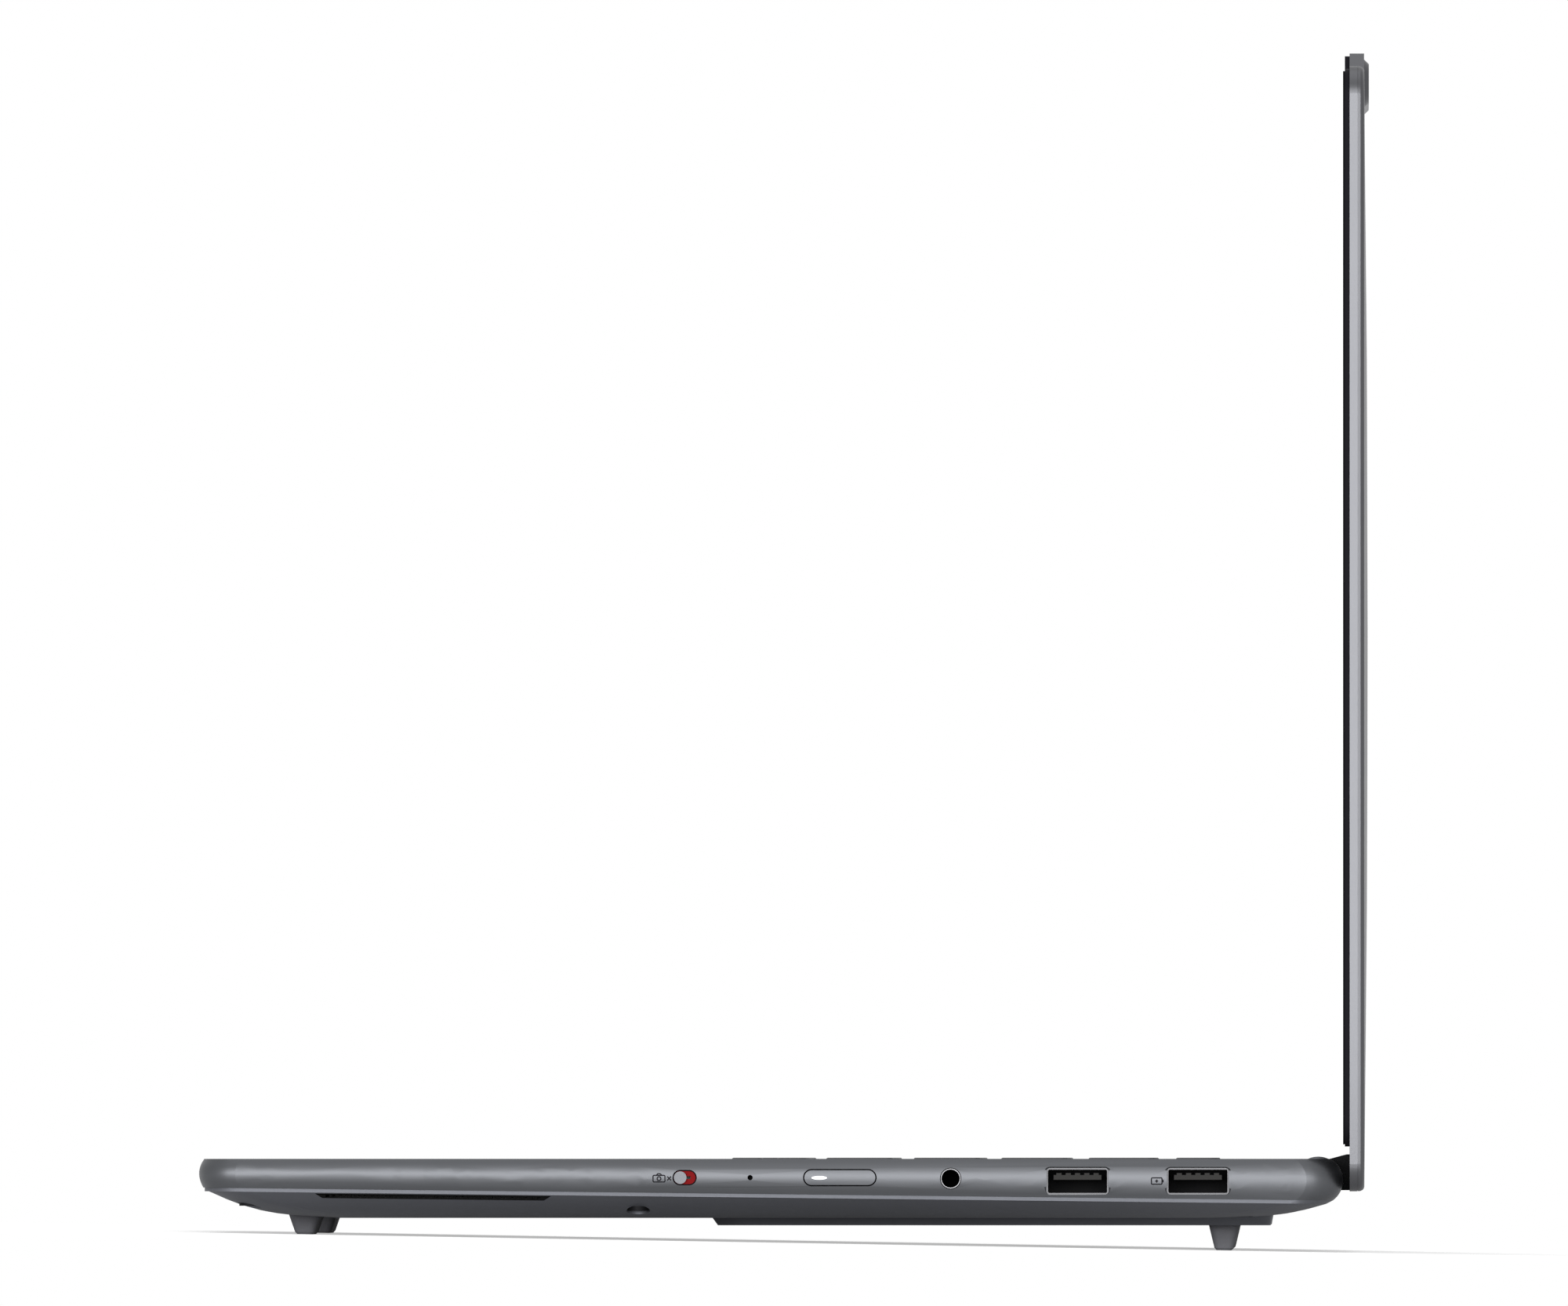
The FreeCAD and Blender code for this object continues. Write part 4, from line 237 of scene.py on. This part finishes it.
def keycap(x0, x1, y0, y1, foot, top):
    """Cap as a stack of rings: up the drafted side, round the rim on a quarter circle, then a step in on the
    flat top."""
    rim = np.linspace(0.0, np.pi / 2, RIM_STEPS)
    inset = np.concatenate(((0.0,), KEY_DRAFT + KEY_ROUND * (1 - np.cos(rim)), (KEY_TOP_INSET,)))
    height = np.concatenate(((foot,), top - KEY_ROUND * (1 - np.sin(rim)), (top,)))
    rings = [np.stack(round_ring(x0 + step, x1 - step, y0 + step, y1 - step, KEY_CORNER, RING_POINTS), 1)
             for step in inset]
    flat = np.stack(rings)
    rise = np.broadcast_to(height[:, None], flat.shape[:2])
    return flat[..., 0], flat[..., 1], rise


def ring_faces(rings, points):
    """Quads between neighbouring rings, and one face at the first and at the last ring."""
    ring, around = np.meshgrid(np.arange(rings - 1), np.arange(points), indexing="ij")
    after = (around + 1) % points
    quads = np.stack((ring * points + around, ring * points + after, (ring + 1) * points + after,
                      (ring + 1) * points + around), -1).reshape(-1, 4)
    last = (rings - 1) * points
    ends = [list(range(points))[::-1], list(range(last, last + points))]
    return quads.tolist() + ends


def new_piece(name, points, faces, material, body, slot, smooth=CREASE_ANGLE):
    """Mesh object in the frame, from an array of points and a list of faces, riding on a body. Edges bent by
    more than smooth degrees are creased, unless smooth is 0."""
    mesh = bpy.data.meshes.new(name)
    mesh.from_pydata(np.asarray(points).reshape(-1, 3).tolist(), [], faces)
    mesh.materials.append(material)
    mesh.validate()
    mesh.shade_smooth()
    piece = bpy.data.objects.new(name, mesh)
    bpy.context.scene.collection.objects.link(piece)
    if smooth:
        split = piece.modifiers.new("crease", "EDGE_SPLIT")
        split.split_angle = math.radians(smooth)
    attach(piece, body)
    return piece


def word_mesh(text, size):
    """Points in mm and faces of a word set flat, with its middle at the origin."""
    curve = bpy.data.curves.new("word", "FONT")
    curve.body = text
    curve.size = size
    curve.align_x = "CENTER"
    curve.align_y = "CENTER"
    curve.resolution_u = WORD_RESOLUTION
    holder = bpy.data.objects.new("word", curve)
    mesh = bpy.data.meshes.new_from_object(holder)
    points = np.empty(len(mesh.vertices) * 3)
    mesh.vertices.foreach_get("co", points)
    faces = [list(polygon.vertices) for polygon in mesh.polygons]
    bpy.data.objects.remove(holder)
    bpy.data.curves.remove(curve)
    bpy.data.meshes.remove(mesh)
    return points.reshape(-1, 3), faces


def joined(meshes):
    """One list of points and faces out of several."""
    starts = np.cumsum([0] + [len(points) for points, _ in meshes[:-1]])
    faces = []
    for start, (_, group) in zip(starts, meshes):
        faces += [[int(start) + corner for corner in face] for face in group]
    return np.concatenate([points for points, _ in meshes]), faces


caps = {}
legends = {}
for row in KEY_ROWS:
    units = sum(width for _, group in row for width, _ in group)
    left = -units * KEY_UNIT / 2
    for node, group in row:
        low, high = deck_box(node)
        half = (high[1] - low[1] - HALF_KEY_GAP) / 2
        for width, mark in group:
            x0 = left + KEY_GAP / 2
            x1 = left + width * KEY_UNIT - KEY_GAP / 2
            left += width * KEY_UNIT
            spans = [(low[1], high[1], mark)]
            if node == "arrow_keys":
                spans = [(low[1], low[1] + half, mark)]
                if mark == "v":
                    spans.append((high[1] - half, high[1], "^"))
            for y0, y1, sign in spans:
                x, y, z = keycap(x0, x1, y0, y1, low[2], high[2])
                caps.setdefault(node, []).append((on_deck(x, y, z).reshape(-1, 3), ring_faces(*x.shape)))
                if sign:
                    points, faces = word_mesh(sign, LEGEND_SIZE if len(sign) == 1 else WORD_SIZE)
                    places = on_deck(points[:, 0] + (x0 + x1) / 2, points[:, 1] + (y0 + y1) / 2,
                                     high[2] + LEGEND_LIFT)
                    legends.setdefault(node, []).append((places, faces))

for node, meshes in caps.items():
    cap = new_piece(node.replace("_key", "_cap"), *joined(meshes), key_plastic, node, "key_plastic")
    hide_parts(node)
for node, meshes in legends.items():
    new_piece(node + "_legends", *joined(meshes), legend_ink, node, "key_plastic", smooth=0)

# Touchpad: a matte glass plate on a steel frame, level with the deck. It rocks on its rear bead when it is
# clicked.
pad_glass = skin("pad_glass", (0.115, 0.117, 0.123), 0.38, metallic=0.6, mottle=0.02)
finish_nodes(pad_glass, "touchpad")
finish_nodes(plate_steel, "touchpad_frame")

# Controls in the right-hand wall: an anodised power button with a white light, a grey shutter knob that
# slides over a red window, and a reset pin behind a pinhole. A black ring sunk in the gap round the button
# and a black line round the shutter's window are painted shade in those gaps.
shutter_red = skin("shutter_red", (0.19, 0.004, 0.005), 0.5, mottle=0.08, shine=0.04)
pin_plastic = skin("pin_plastic", (0.004, 0.004, 0.004), 0.7, shine=0.05)
finish_nodes(case_metal, "power_button", "shutter_slider")
finish_nodes(shutter_red, "shutter_window")
finish_nodes(pin_plastic, "reset_button")

WALL_REACH = 300.0
MARK_LIFT = 0.05
MARK_STROKE = 0.25
STROKE_POINTS = 9
POWER_PLACE = (140.1, -4.1)
POWER_SIZE = (15.5, 3.2)
POWER_GAP = 0.3
SHADE_RING_DEPTH = 0.25
SHADE_RING_WIDTH = 0.8 * POWER_GAP
SHUTTER_PLACE = (106.2, -4.1)
SHUTTER_SIZE = (5.3, 3.36)
SHUTTER_SHADE_WIDTH = 0.26
LIGHT_PLACE = (135.6, -4.15)
LIGHT_SIZE = (3.4, 0.78)
LIGHT_POINTS = 25
LIGHT_END = 0.98
LIGHT_TINT = (0.95, 0.98, 1.0, 1)
LIGHT_STRENGTH = 0.6
SLOT_POINTS = 64


def wall_finder(node):
    """Function that gives the x in mm at which rays from the right, along -x, first meet a CAD node."""
    mesh = frame["nodes"][node].data
    corners = [corner.co for corner in mesh.vertices]
    tree = BVHTree.FromPolygons(corners, [face.vertices for face in mesh.polygons])
    inward = Vector((-1, 0, 0))

    def reach(y, z):
        starts = on_deck(WALL_REACH, y, z)
        return np.array([tree.ray_cast(Vector(start), inward)[0].x * MM_PER_M for start in starts])

    return reach


def ribbon(y, z, width, surface, lift, closed=True):
    """Line of a width in mm along points y, z on a wall: a row of points half a width to either side, along
    the line's normal, lifted off the surface, which gives x for y and z."""
    line = np.stack((y, z), 1)
    along = np.roll(line, -1, 0) - np.roll(line, 1, 0) if closed else np.gradient(line, axis=0)
    across = along[:, ::-1] * (-1, 1) * width / 2 / np.linalg.norm(along, axis=1)[:, None]
    rows = np.concatenate((line + across, line - across))
    count = len(line)
    start = np.arange(count if closed else count - 1)
    after = (start + 1) % count
    faces = np.stack((start + count, after + count, after, start), 1)
    return on_deck(surface(rows[:, 0], rows[:, 1]) + lift, rows[:, 0], rows[:, 1]), faces.tolist()


def flat_face(x):
    """Surface for a ribbon that lies at one x."""
    return lambda y, z: np.full(len(y), x)


def slot_ring(place, size, grow):
    """Ring of a slot with round ends, grown by an amount in mm."""
    half = np.array(size) / 2 + grow
    return round_ring(place[0] - half[0], place[0] + half[0], place[1] - half[1], place[1] + half[1], half[1],
                      SLOT_POINTS)


case_wall = wall_finder("top_case")
button_wall = wall_finder("power_button")
gap_shade_black = skin("gap_shade_black", (0.004, 0.004, 0.0045), 0.8, shine=0.02)
mark_ink = skin("mark_ink", (0.012, 0.012, 0.014), 0.7, shine=0.05)
light_pane = skin("light_pane", (0.8, 0.8, 0.8), 0.4, mottle=0.02)
light_inputs = light_pane.node_tree.nodes["Principled BSDF"].inputs
light_inputs["Emission Color"].default_value = LIGHT_TINT
light_inputs["Emission Strength"].default_value = LIGHT_STRENGTH

# Painted shade: a black ring sunk behind the wall in the gap round the power button.
shade_ring_y, shade_ring_z = slot_ring(POWER_PLACE, POWER_SIZE, POWER_GAP / 2)
outer_y, outer_z = slot_ring(POWER_PLACE, POWER_SIZE, 2 * POWER_GAP)
shade_ring_face = case_wall(outer_y, outer_z).min() - SHADE_RING_DEPTH
sunk_shade_ring = ribbon(shade_ring_y, shade_ring_z, SHADE_RING_WIDTH, flat_face(shade_ring_face), 0)
new_piece("power_button_painted_gap", *sunk_shade_ring, gap_shade_black, "base", "black_plastic", smooth=0)

window_face = deck_box("shutter_window")[1][0]
# Painted shade: a black line along the edge of the shutter's window.
line_y, line_z = slot_ring(SHUTTER_PLACE, SHUTTER_SIZE, -SHUTTER_SHADE_WIDTH / 2)
shutter_shade_line = ribbon(line_y, line_z, SHUTTER_SHADE_WIDTH, flat_face(window_face), MARK_LIFT)
new_piece("shutter_painted_edge", *shutter_shade_line, gap_shade_black, "base", "black_plastic", smooth=0)

bar_along = np.linspace(-LIGHT_END, LIGHT_END, LIGHT_POINTS) * LIGHT_SIZE[0] / 2
bar_half = LIGHT_SIZE[1] / 2 * np.sqrt(1 - (2 * bar_along / LIGHT_SIZE[0]) ** 2)
bar_y = np.tile(bar_along, 3) + LIGHT_PLACE[0]
bar_z = np.outer((-1, 0, 1), bar_half).ravel() + LIGHT_PLACE[1]
low_row = np.arange(2)[:, None] * LIGHT_POINTS + np.arange(LIGHT_POINTS - 1)
high_row = low_row + LIGHT_POINTS
bar_faces = np.stack((low_row, low_row + 1, high_row + 1, high_row), -1).reshape(-1, 4).tolist()
bar_points = on_deck(button_wall(bar_y, bar_z) + MARK_LIFT, bar_y, bar_z)
new_piece("power_light", bar_points, bar_faces, light_pane, "power_button", "button_metal", smooth=0)


def mark(name, place, rings, strokes):
    """Printed sign on the case's wall: closed rings and open strokes of points about a place. Strokes are
    divided finely, so that they follow the wall."""
    share = np.linspace(0, 1, STROKE_POINTS)
    lines = [(np.array(ring), True) for ring in rings]
    for stroke in strokes:
        knots = np.linspace(0, 1, len(stroke))
        lines.append((np.stack([np.interp(share, knots, part) for part in np.transpose(stroke)], 1), False))
    meshes = [ribbon(line[:, 0] + place[0], line[:, 1] + place[1], MARK_STROKE, case_wall, MARK_LIFT, closed)
              for line, closed in lines]
    new_piece(name, *joined(meshes), mark_ink, "base", "black_plastic", smooth=0)


def circle(place, radius, points):
    """Circle about a place, as y and z: a radius carried round one turn in equal steps."""
    turn = np.arange(points) * 2 * np.pi / points
    return place[0] + radius * np.cos(turn), place[1] + radius * np.sin(turn)


# A sign's body is a round-cornered box, given by its sides and its corner, and strokes are rows of points.
MARK_POINTS = 24
CAMERA_MARK_PLACE = (100.6, -4.2)
CAMERA_BODY = (-1.3, 1.3, -0.85, 0.6, 0.25)
CAMERA_LENS = ((0, -0.12), 0.42, 20)
CAMERA_HUMP = ((-0.55, 0.65), (-0.3, 0.95), (0.3, 0.95), (0.55, 0.65))
CROSS_STROKES = (((1.8, -0.5), (2.65, 0.35)), ((1.8, 0.35), (2.65, -0.5)))
BATTERY_MARK_PLACE = (209.4, -4.85)
BATTERY_BODY = (-1.25, 1.05, -0.7, 0.7, 0.2)
BATTERY_CAP = ((1.3, -0.3), (1.3, 0.3))
PLUS_STROKES = (((-0.45, 0.0), (0.25, 0.0)), ((-0.1, -0.35), (-0.1, 0.35)))
camera_body = np.stack(round_ring(*CAMERA_BODY, MARK_POINTS), 1)
camera_lens = np.stack(circle(*CAMERA_LENS), 1)
mark("camera_mark", CAMERA_MARK_PLACE, (camera_body, camera_lens), (CAMERA_HUMP, *CROSS_STROKES))
battery_body = np.stack(round_ring(*BATTERY_BODY, MARK_POINTS), 1)
mark("battery_mark", BATTERY_MARK_PLACE, (battery_body,), (BATTERY_CAP, *PLUS_STROKES))

# Ports: black shells and tongues, fixed to boards behind the side walls. The audio socket has a thin
# metal ring and a closed end behind its bore. The socket and its end are near black and reflect nothing, a
# painted shade deep in the bore. The large data sockets have metal rims and toothed tongue fronts.
port_shell = skin("port_shell", (0.005, 0.005, 0.0055), 0.6, shine=0.04)
jack_plastic_and_shade = skin("jack_plastic_and_shade", (0.004, 0.004, 0.004), 0.8, shine=0.0)
finish_nodes(port_shell, "type_a_ports", "type_c_ports", "video_port")
finish_nodes(jack_plastic_and_shade, "audio_jack")

JACK_PLACE = (164.3, -4.3)
JACK_RING = 2.08
JACK_RING_WIDTH = 0.17
JACK_POINTS = 64
JACK_END_RADIUS = 2.0
JACK_END_GAP = 0.05
jack_low, jack_high = deck_box("audio_jack")
ring_metal = skin("ring_metal", (0.13, 0.13, 0.135), 0.4, metallic=1.0, mottle=0.04)
ring_line = circle(JACK_PLACE, JACK_RING, JACK_POINTS)
jack_ring = ribbon(*ring_line, JACK_RING_WIDTH, flat_face(jack_high[0]), MARK_LIFT)
new_piece("audio_jack_ring", *jack_ring, ring_metal, "base", "bright_steel", smooth=0)
# Painted shade: a black disc closes the bore's far end.
end_points = on_deck(jack_low[0] - JACK_END_GAP, *circle(JACK_PLACE, JACK_END_RADIUS, JACK_POINTS))
end_faces = [list(range(JACK_POINTS))]
new_piece("audio_jack_shaded_end", end_points, end_faces, jack_plastic_and_shade, "base", "black_plastic", smooth=0)

SOCKET_SIZE = (12.9, 5.1)
SOCKET_CORNER = 0.35
RIM_WIDTH = 0.4
RIM_POINTS = 48
TONGUE_SIZE = (10.4, 1.0)
TONGUE_DROP = 1.2
CONTACT_SIZE = (1.12, 0.45)
CONTACT_PITCH = 2.03
CONTACTS = 5


def tongue_front(top):
    """Outline of a tongue's front, as y from its middle and z: a bar below top, with a row of contacts on
    it."""
    side = TONGUE_SIZE[0] / 2
    foot = top - TONGUE_SIZE[1]
    outline = [(side, top), (side, foot), (-side, foot), (-side, top)]
    half = CONTACT_SIZE[0] / 2
    rise = top + CONTACT_SIZE[1]
    for number in range(CONTACTS):
        place = (number - (CONTACTS - 1) / 2) * CONTACT_PITCH
        outline += [(place - half, top), (place - half, rise), (place + half, rise), (place + half, top)]
    return np.array(outline)


rim_metal = skin("rim_metal", (0.062, 0.062, 0.065), 0.4, metallic=1.0, mottle=0.04)
tongue_plastic = skin("tongue_plastic", (0.027, 0.026, 0.025), 0.6, shine=0.1)
socket_low, socket_high = deck_box("type_a_ports")
socket_wall = wall_finder("type_a_ports")
socket_z = (socket_low[2] + socket_high[2]) / 2
socket_edge = (SOCKET_SIZE[0] - SOCKET_SIZE[1] + socket_high[2] - socket_low[2]) / 2
tongue_top = socket_z + SOCKET_SIZE[1] / 2 - TONGUE_DROP
tongue_outline = tongue_front(tongue_top)
tongue_faces = [list(range(len(tongue_outline)))[::-1]]
rim_half = (np.array(SOCKET_SIZE) + RIM_WIDTH) / 2
rim_corner = SOCKET_CORNER + RIM_WIDTH / 2
rims = []
tongues = []
for middle in (socket_low[1] + socket_edge, socket_high[1] - socket_edge):
    rim = round_ring(middle - rim_half[0], middle + rim_half[0],
                     socket_z - rim_half[1], socket_z + rim_half[1], rim_corner, RIM_POINTS)
    rims.append(ribbon(*rim, RIM_WIDTH, flat_face(socket_high[0]), MARK_LIFT))
    front = socket_wall(np.array([middle]), np.array([tongue_top - TONGUE_SIZE[1] / 2]))[0] + MARK_LIFT
    tongues.append((on_deck(front, middle + tongue_outline[:, 0], tongue_outline[:, 1]), tongue_faces))
new_piece("data_socket_rims", *joined(rims), rim_metal, "base", "bright_steel", smooth=0)
new_piece("data_socket_tongues", *joined(tongues), tongue_plastic, "base", "black_plastic", smooth=0)

# Hinge: steel barrels in the case's knuckles carry shafts and leaves that are screwed into the lid, behind
# a black moulded cover that turns with the lid.
hinge_plastic = skin("hinge_plastic", (0.003, 0.0033, 0.004), 0.5, shine=0.06)
finish_nodes(hinge_plastic, "hinge_cover")
finish_nodes(plate_steel, "hinge_bracket_left", "hinge_bracket_right")
finish_nodes(plate_steel, "hinge_leaf_left", "hinge_leaf_right")

# Lid: a stamped aluminium back with a flat bright edge, and a black moulded bezel with a soft gasket
# round a dark anti-glare screen. A flat cable runs from the screen into the hinge cover.
lid_metal = skin("lid_metal", (0.088, 0.089, 0.095), 0.43, metallic=1.0, grain=0.00025, depth=0.03,
                 mottle=0.03)
bezel_plastic = skin("bezel_plastic", (0.0075, 0.007, 0.0095), 0.6, shine=0.03)
screen_glass = skin("screen_glass", (0.004, 0.004, 0.005), 0.22, grain=0.00015, depth=0.02, coat=0.3)
lens_glass = skin("lens_glass", (0.006, 0.006, 0.009), 0.08, coat=0.6)
gasket_rubber = skin("gasket_rubber", (0.005, 0.005, 0.006), 0.8, shine=0.03)
cable_film = skin("cable_film", (0.03, 0.022, 0.012), 0.4)
finish_nodes(lid_metal, "lid_back_cover")
finish_nodes(bezel_plastic, "screen_bezel")
finish_nodes(screen_glass, "display_panel")
finish_nodes(lens_glass, "camera_module")
finish_nodes(gasket_rubber, "screen_gasket")
finish_nodes(cable_film, "display_cable")

# Floor and light: a pale floor that keeps the shadow and fades into the white behind it, a white world, a
# weak softbox overhead and a broad low one towards the camera, for the highlight along the side wall. The
# floor's glow is weaker near its middle, a painted shade round the object, and what it shows in
# reflections is dimmed under the object, a painted shade on the underside. Its sizes are in metres.
FLOOR_REACH = 0.75
FLOOR_GLOW = 0.46
EDGE_GLOW = 0.62
EDGE_SIZE = (0.72, 0.2)
EDGE_FADE = (0.55, 1.0)
FOOTPRINT = (0.32, 0.24)
MIRROR_FADE = (0.3, 1.0)
FLOOR_COLOUR = (0.74, 0.74, 0.74, 1)
FLOOR_ROUGHNESS = 0.9
WORLD_LIGHT = 0.5
WORLD_SEEN = 1.0
WHITE = (1, 1, 1, 1)
floor_mesh = bpy.data.meshes.new("floor")
corners = FLOOR_REACH * np.array(((-1, -1, 0), (1, -1, 0), (1, 1, 0), (-1, 1, 0)))
floor_mesh.from_pydata(corners.tolist(), [], [(0, 1, 2, 3)])
floor_paint = bpy.data.materials.new("floor_paint")
floor_paint.use_nodes = True
floor_shader = floor_paint.node_tree.nodes["Principled BSDF"]
floor_shader.inputs["Base Color"].default_value = FLOOR_COLOUR
floor_shader.inputs["Roughness"].default_value = FLOOR_ROUGHNESS
floor_shader.inputs["Specular IOR Level"].default_value = 0.0
floor_shader.inputs["Emission Color"].default_value = WHITE
floor_mesh.materials.append(floor_paint)
floor = bpy.data.objects.new("floor", floor_mesh)
bpy.context.scene.collection.objects.link(floor)


def seen_rays(tree, mirrored=None):
    """Socket that is 1 for rays from the camera, a mirror or a pane, and 0 for the rest. Rays from a mirror
    can be weighted by another socket."""
    rays = tree.nodes.new("ShaderNodeLightPath")
    seen = tree.nodes.new("ShaderNodeMath")
    seen.operation = "MAXIMUM"
    through = tree.nodes.new("ShaderNodeMath")
    through.operation = "MAXIMUM"
    weight = tree.nodes.new("ShaderNodeMath")
    weight.operation = "MULTIPLY"
    weight.inputs[1].default_value = 1.0
    if mirrored:
        tree.links.new(mirrored, weight.inputs[1])
    tree.links.new(rays.outputs["Is Glossy Ray"], weight.inputs[0])
    tree.links.new(rays.outputs["Is Camera Ray"], seen.inputs[0])
    tree.links.new(weight.outputs[0], seen.inputs[1])
    tree.links.new(seen.outputs[0], through.inputs[0])
    tree.links.new(rays.outputs["Is Transmission Ray"], through.inputs[1])
    return through.outputs[0]


floor_tree = floor_paint.node_tree
floor_place = floor_tree.nodes.new("ShaderNodeTexCoord")


def floor_ramp(size, fade, ends):
    """Socket that goes smoothly from one end value to the other on the way out from the floor's middle. The
    distance is the length of the place divided by a size each way, and fade gives its start and stop."""
    share = floor_tree.nodes.new("ShaderNodeVectorMath")
    share.operation = "DIVIDE"
    share.inputs[1].default_value = (*size, 1)
    away = floor_tree.nodes.new("ShaderNodeVectorMath")
    away.operation = "LENGTH"
    ramp = floor_tree.nodes.new("ShaderNodeMapRange")
    ramp.interpolation_type = "SMOOTHSTEP"
    for socket, value in zip(("From Min", "From Max", "To Min", "To Max"), (*fade, *ends)):
        ramp.inputs[socket].default_value = value
    floor_tree.links.new(floor_place.outputs["Object"], share.inputs[0])
    floor_tree.links.new(share.outputs["Vector"], away.inputs[0])
    floor_tree.links.new(away.outputs["Value"], ramp.inputs["Value"])
    return ramp.outputs["Result"]


# Painted shade in reflections: what metal sees of the floor's glow fades to nothing under the object.
painted_mirror_shade = floor_ramp(FOOTPRINT, MIRROR_FADE, (0.0, 1.0))
# Painted shade round the object: the floor's glow is weaker near its middle than at its edges, where it lifts
# the shadow's ends to white.
glow_with_painted_shade = floor_ramp(EDGE_SIZE, EDGE_FADE, (FLOOR_GLOW, EDGE_GLOW))
floor_glow = floor_tree.nodes.new("ShaderNodeMath")
floor_glow.operation = "MULTIPLY"
floor_tree.links.new(seen_rays(floor_tree, painted_mirror_shade), floor_glow.inputs[0])
floor_tree.links.new(glow_with_painted_shade, floor_glow.inputs[1])
floor_tree.links.new(floor_glow.outputs[0], floor_shader.inputs["Emission Strength"])

world = bpy.data.worlds.new("studio")
world.use_nodes = True
bpy.context.scene.world = world
sky = world.node_tree.nodes["Background"]
level = world.node_tree.nodes.new("ShaderNodeMapRange")
level.inputs["To Min"].default_value = WORLD_LIGHT
level.inputs["To Max"].default_value = WORLD_SEEN
world.node_tree.links.new(seen_rays(world.node_tree), level.inputs["Value"])
world.node_tree.links.new(level.outputs["Result"], sky.inputs["Strength"])
sky.inputs["Color"].default_value = WHITE


def softbox(name, place, target, width, height, watts):
    """Rectangular lamp at a place, facing a target, not seen by the camera."""
    lamp = bpy.data.lights.new(name, "AREA")
    lamp.shape = "RECTANGLE"
    lamp.size = width
    lamp.size_y = height
    lamp.energy = watts
    holder = bpy.data.objects.new(name, lamp)
    holder.location = place
    holder.rotation_euler = (Vector(target) - Vector(place)).to_track_quat("-Z", "Y").to_euler()
    holder.visible_camera = False
    bpy.context.scene.collection.objects.link(holder)


softbox("overhead", place=(0.2, 0.0, 1.7), target=(0, 0, 0), width=1.6, height=1.6, watts=8)
softbox("side", place=(3.0, -0.3, 0.2), target=(0.17, -0.05, 0.05), width=3.0, height=0.8, watts=112)

# Camera: far off to the right with a long lens, level with the deck and in line with the lid, so that both
# are seen edge-on. It is rolled with the deck, and its frame, in mm, is the photograph's.
FRAME_WIDTH = 342.46
FRAME_MIDDLE = (177.0, 127.9, 110.5)
FOCAL_LENGTH = 1390.0
SENSOR_WIDTH = 36.0
EYE_Y = 250.0
EYE_Z = 0.4
CLIP = (0.1, 40.0)
eye_away = FRAME_MIDDLE[0] + FRAME_WIDTH * FOCAL_LENGTH / SENSOR_WIDTH
eye = on_deck(eye_away, EYE_Y, EYE_Z)
aim = on_deck(*FRAME_MIDDLE)
backward = (eye - aim) / np.linalg.norm(eye - aim)
right = np.cross(deck_up, backward)
right /= np.linalg.norm(right)
upward = np.cross(backward, right)
lens = bpy.data.cameras.new("camera")
lens.lens = FOCAL_LENGTH
lens.sensor_width = SENSOR_WIDTH
lens.clip_start = CLIP[0]
lens.clip_end = CLIP[1]
camera = bpy.data.objects.new("camera", lens)
turn = np.eye(4)
turn[:3, :3] = np.stack((right, upward, backward), 1)
turn[:3, 3] = eye
camera.matrix_world = Matrix(turn.tolist())
bpy.context.scene.collection.objects.link(camera)
bpy.context.scene.camera = camera
bpy.context.scene.view_settings.view_transform = "Standard"
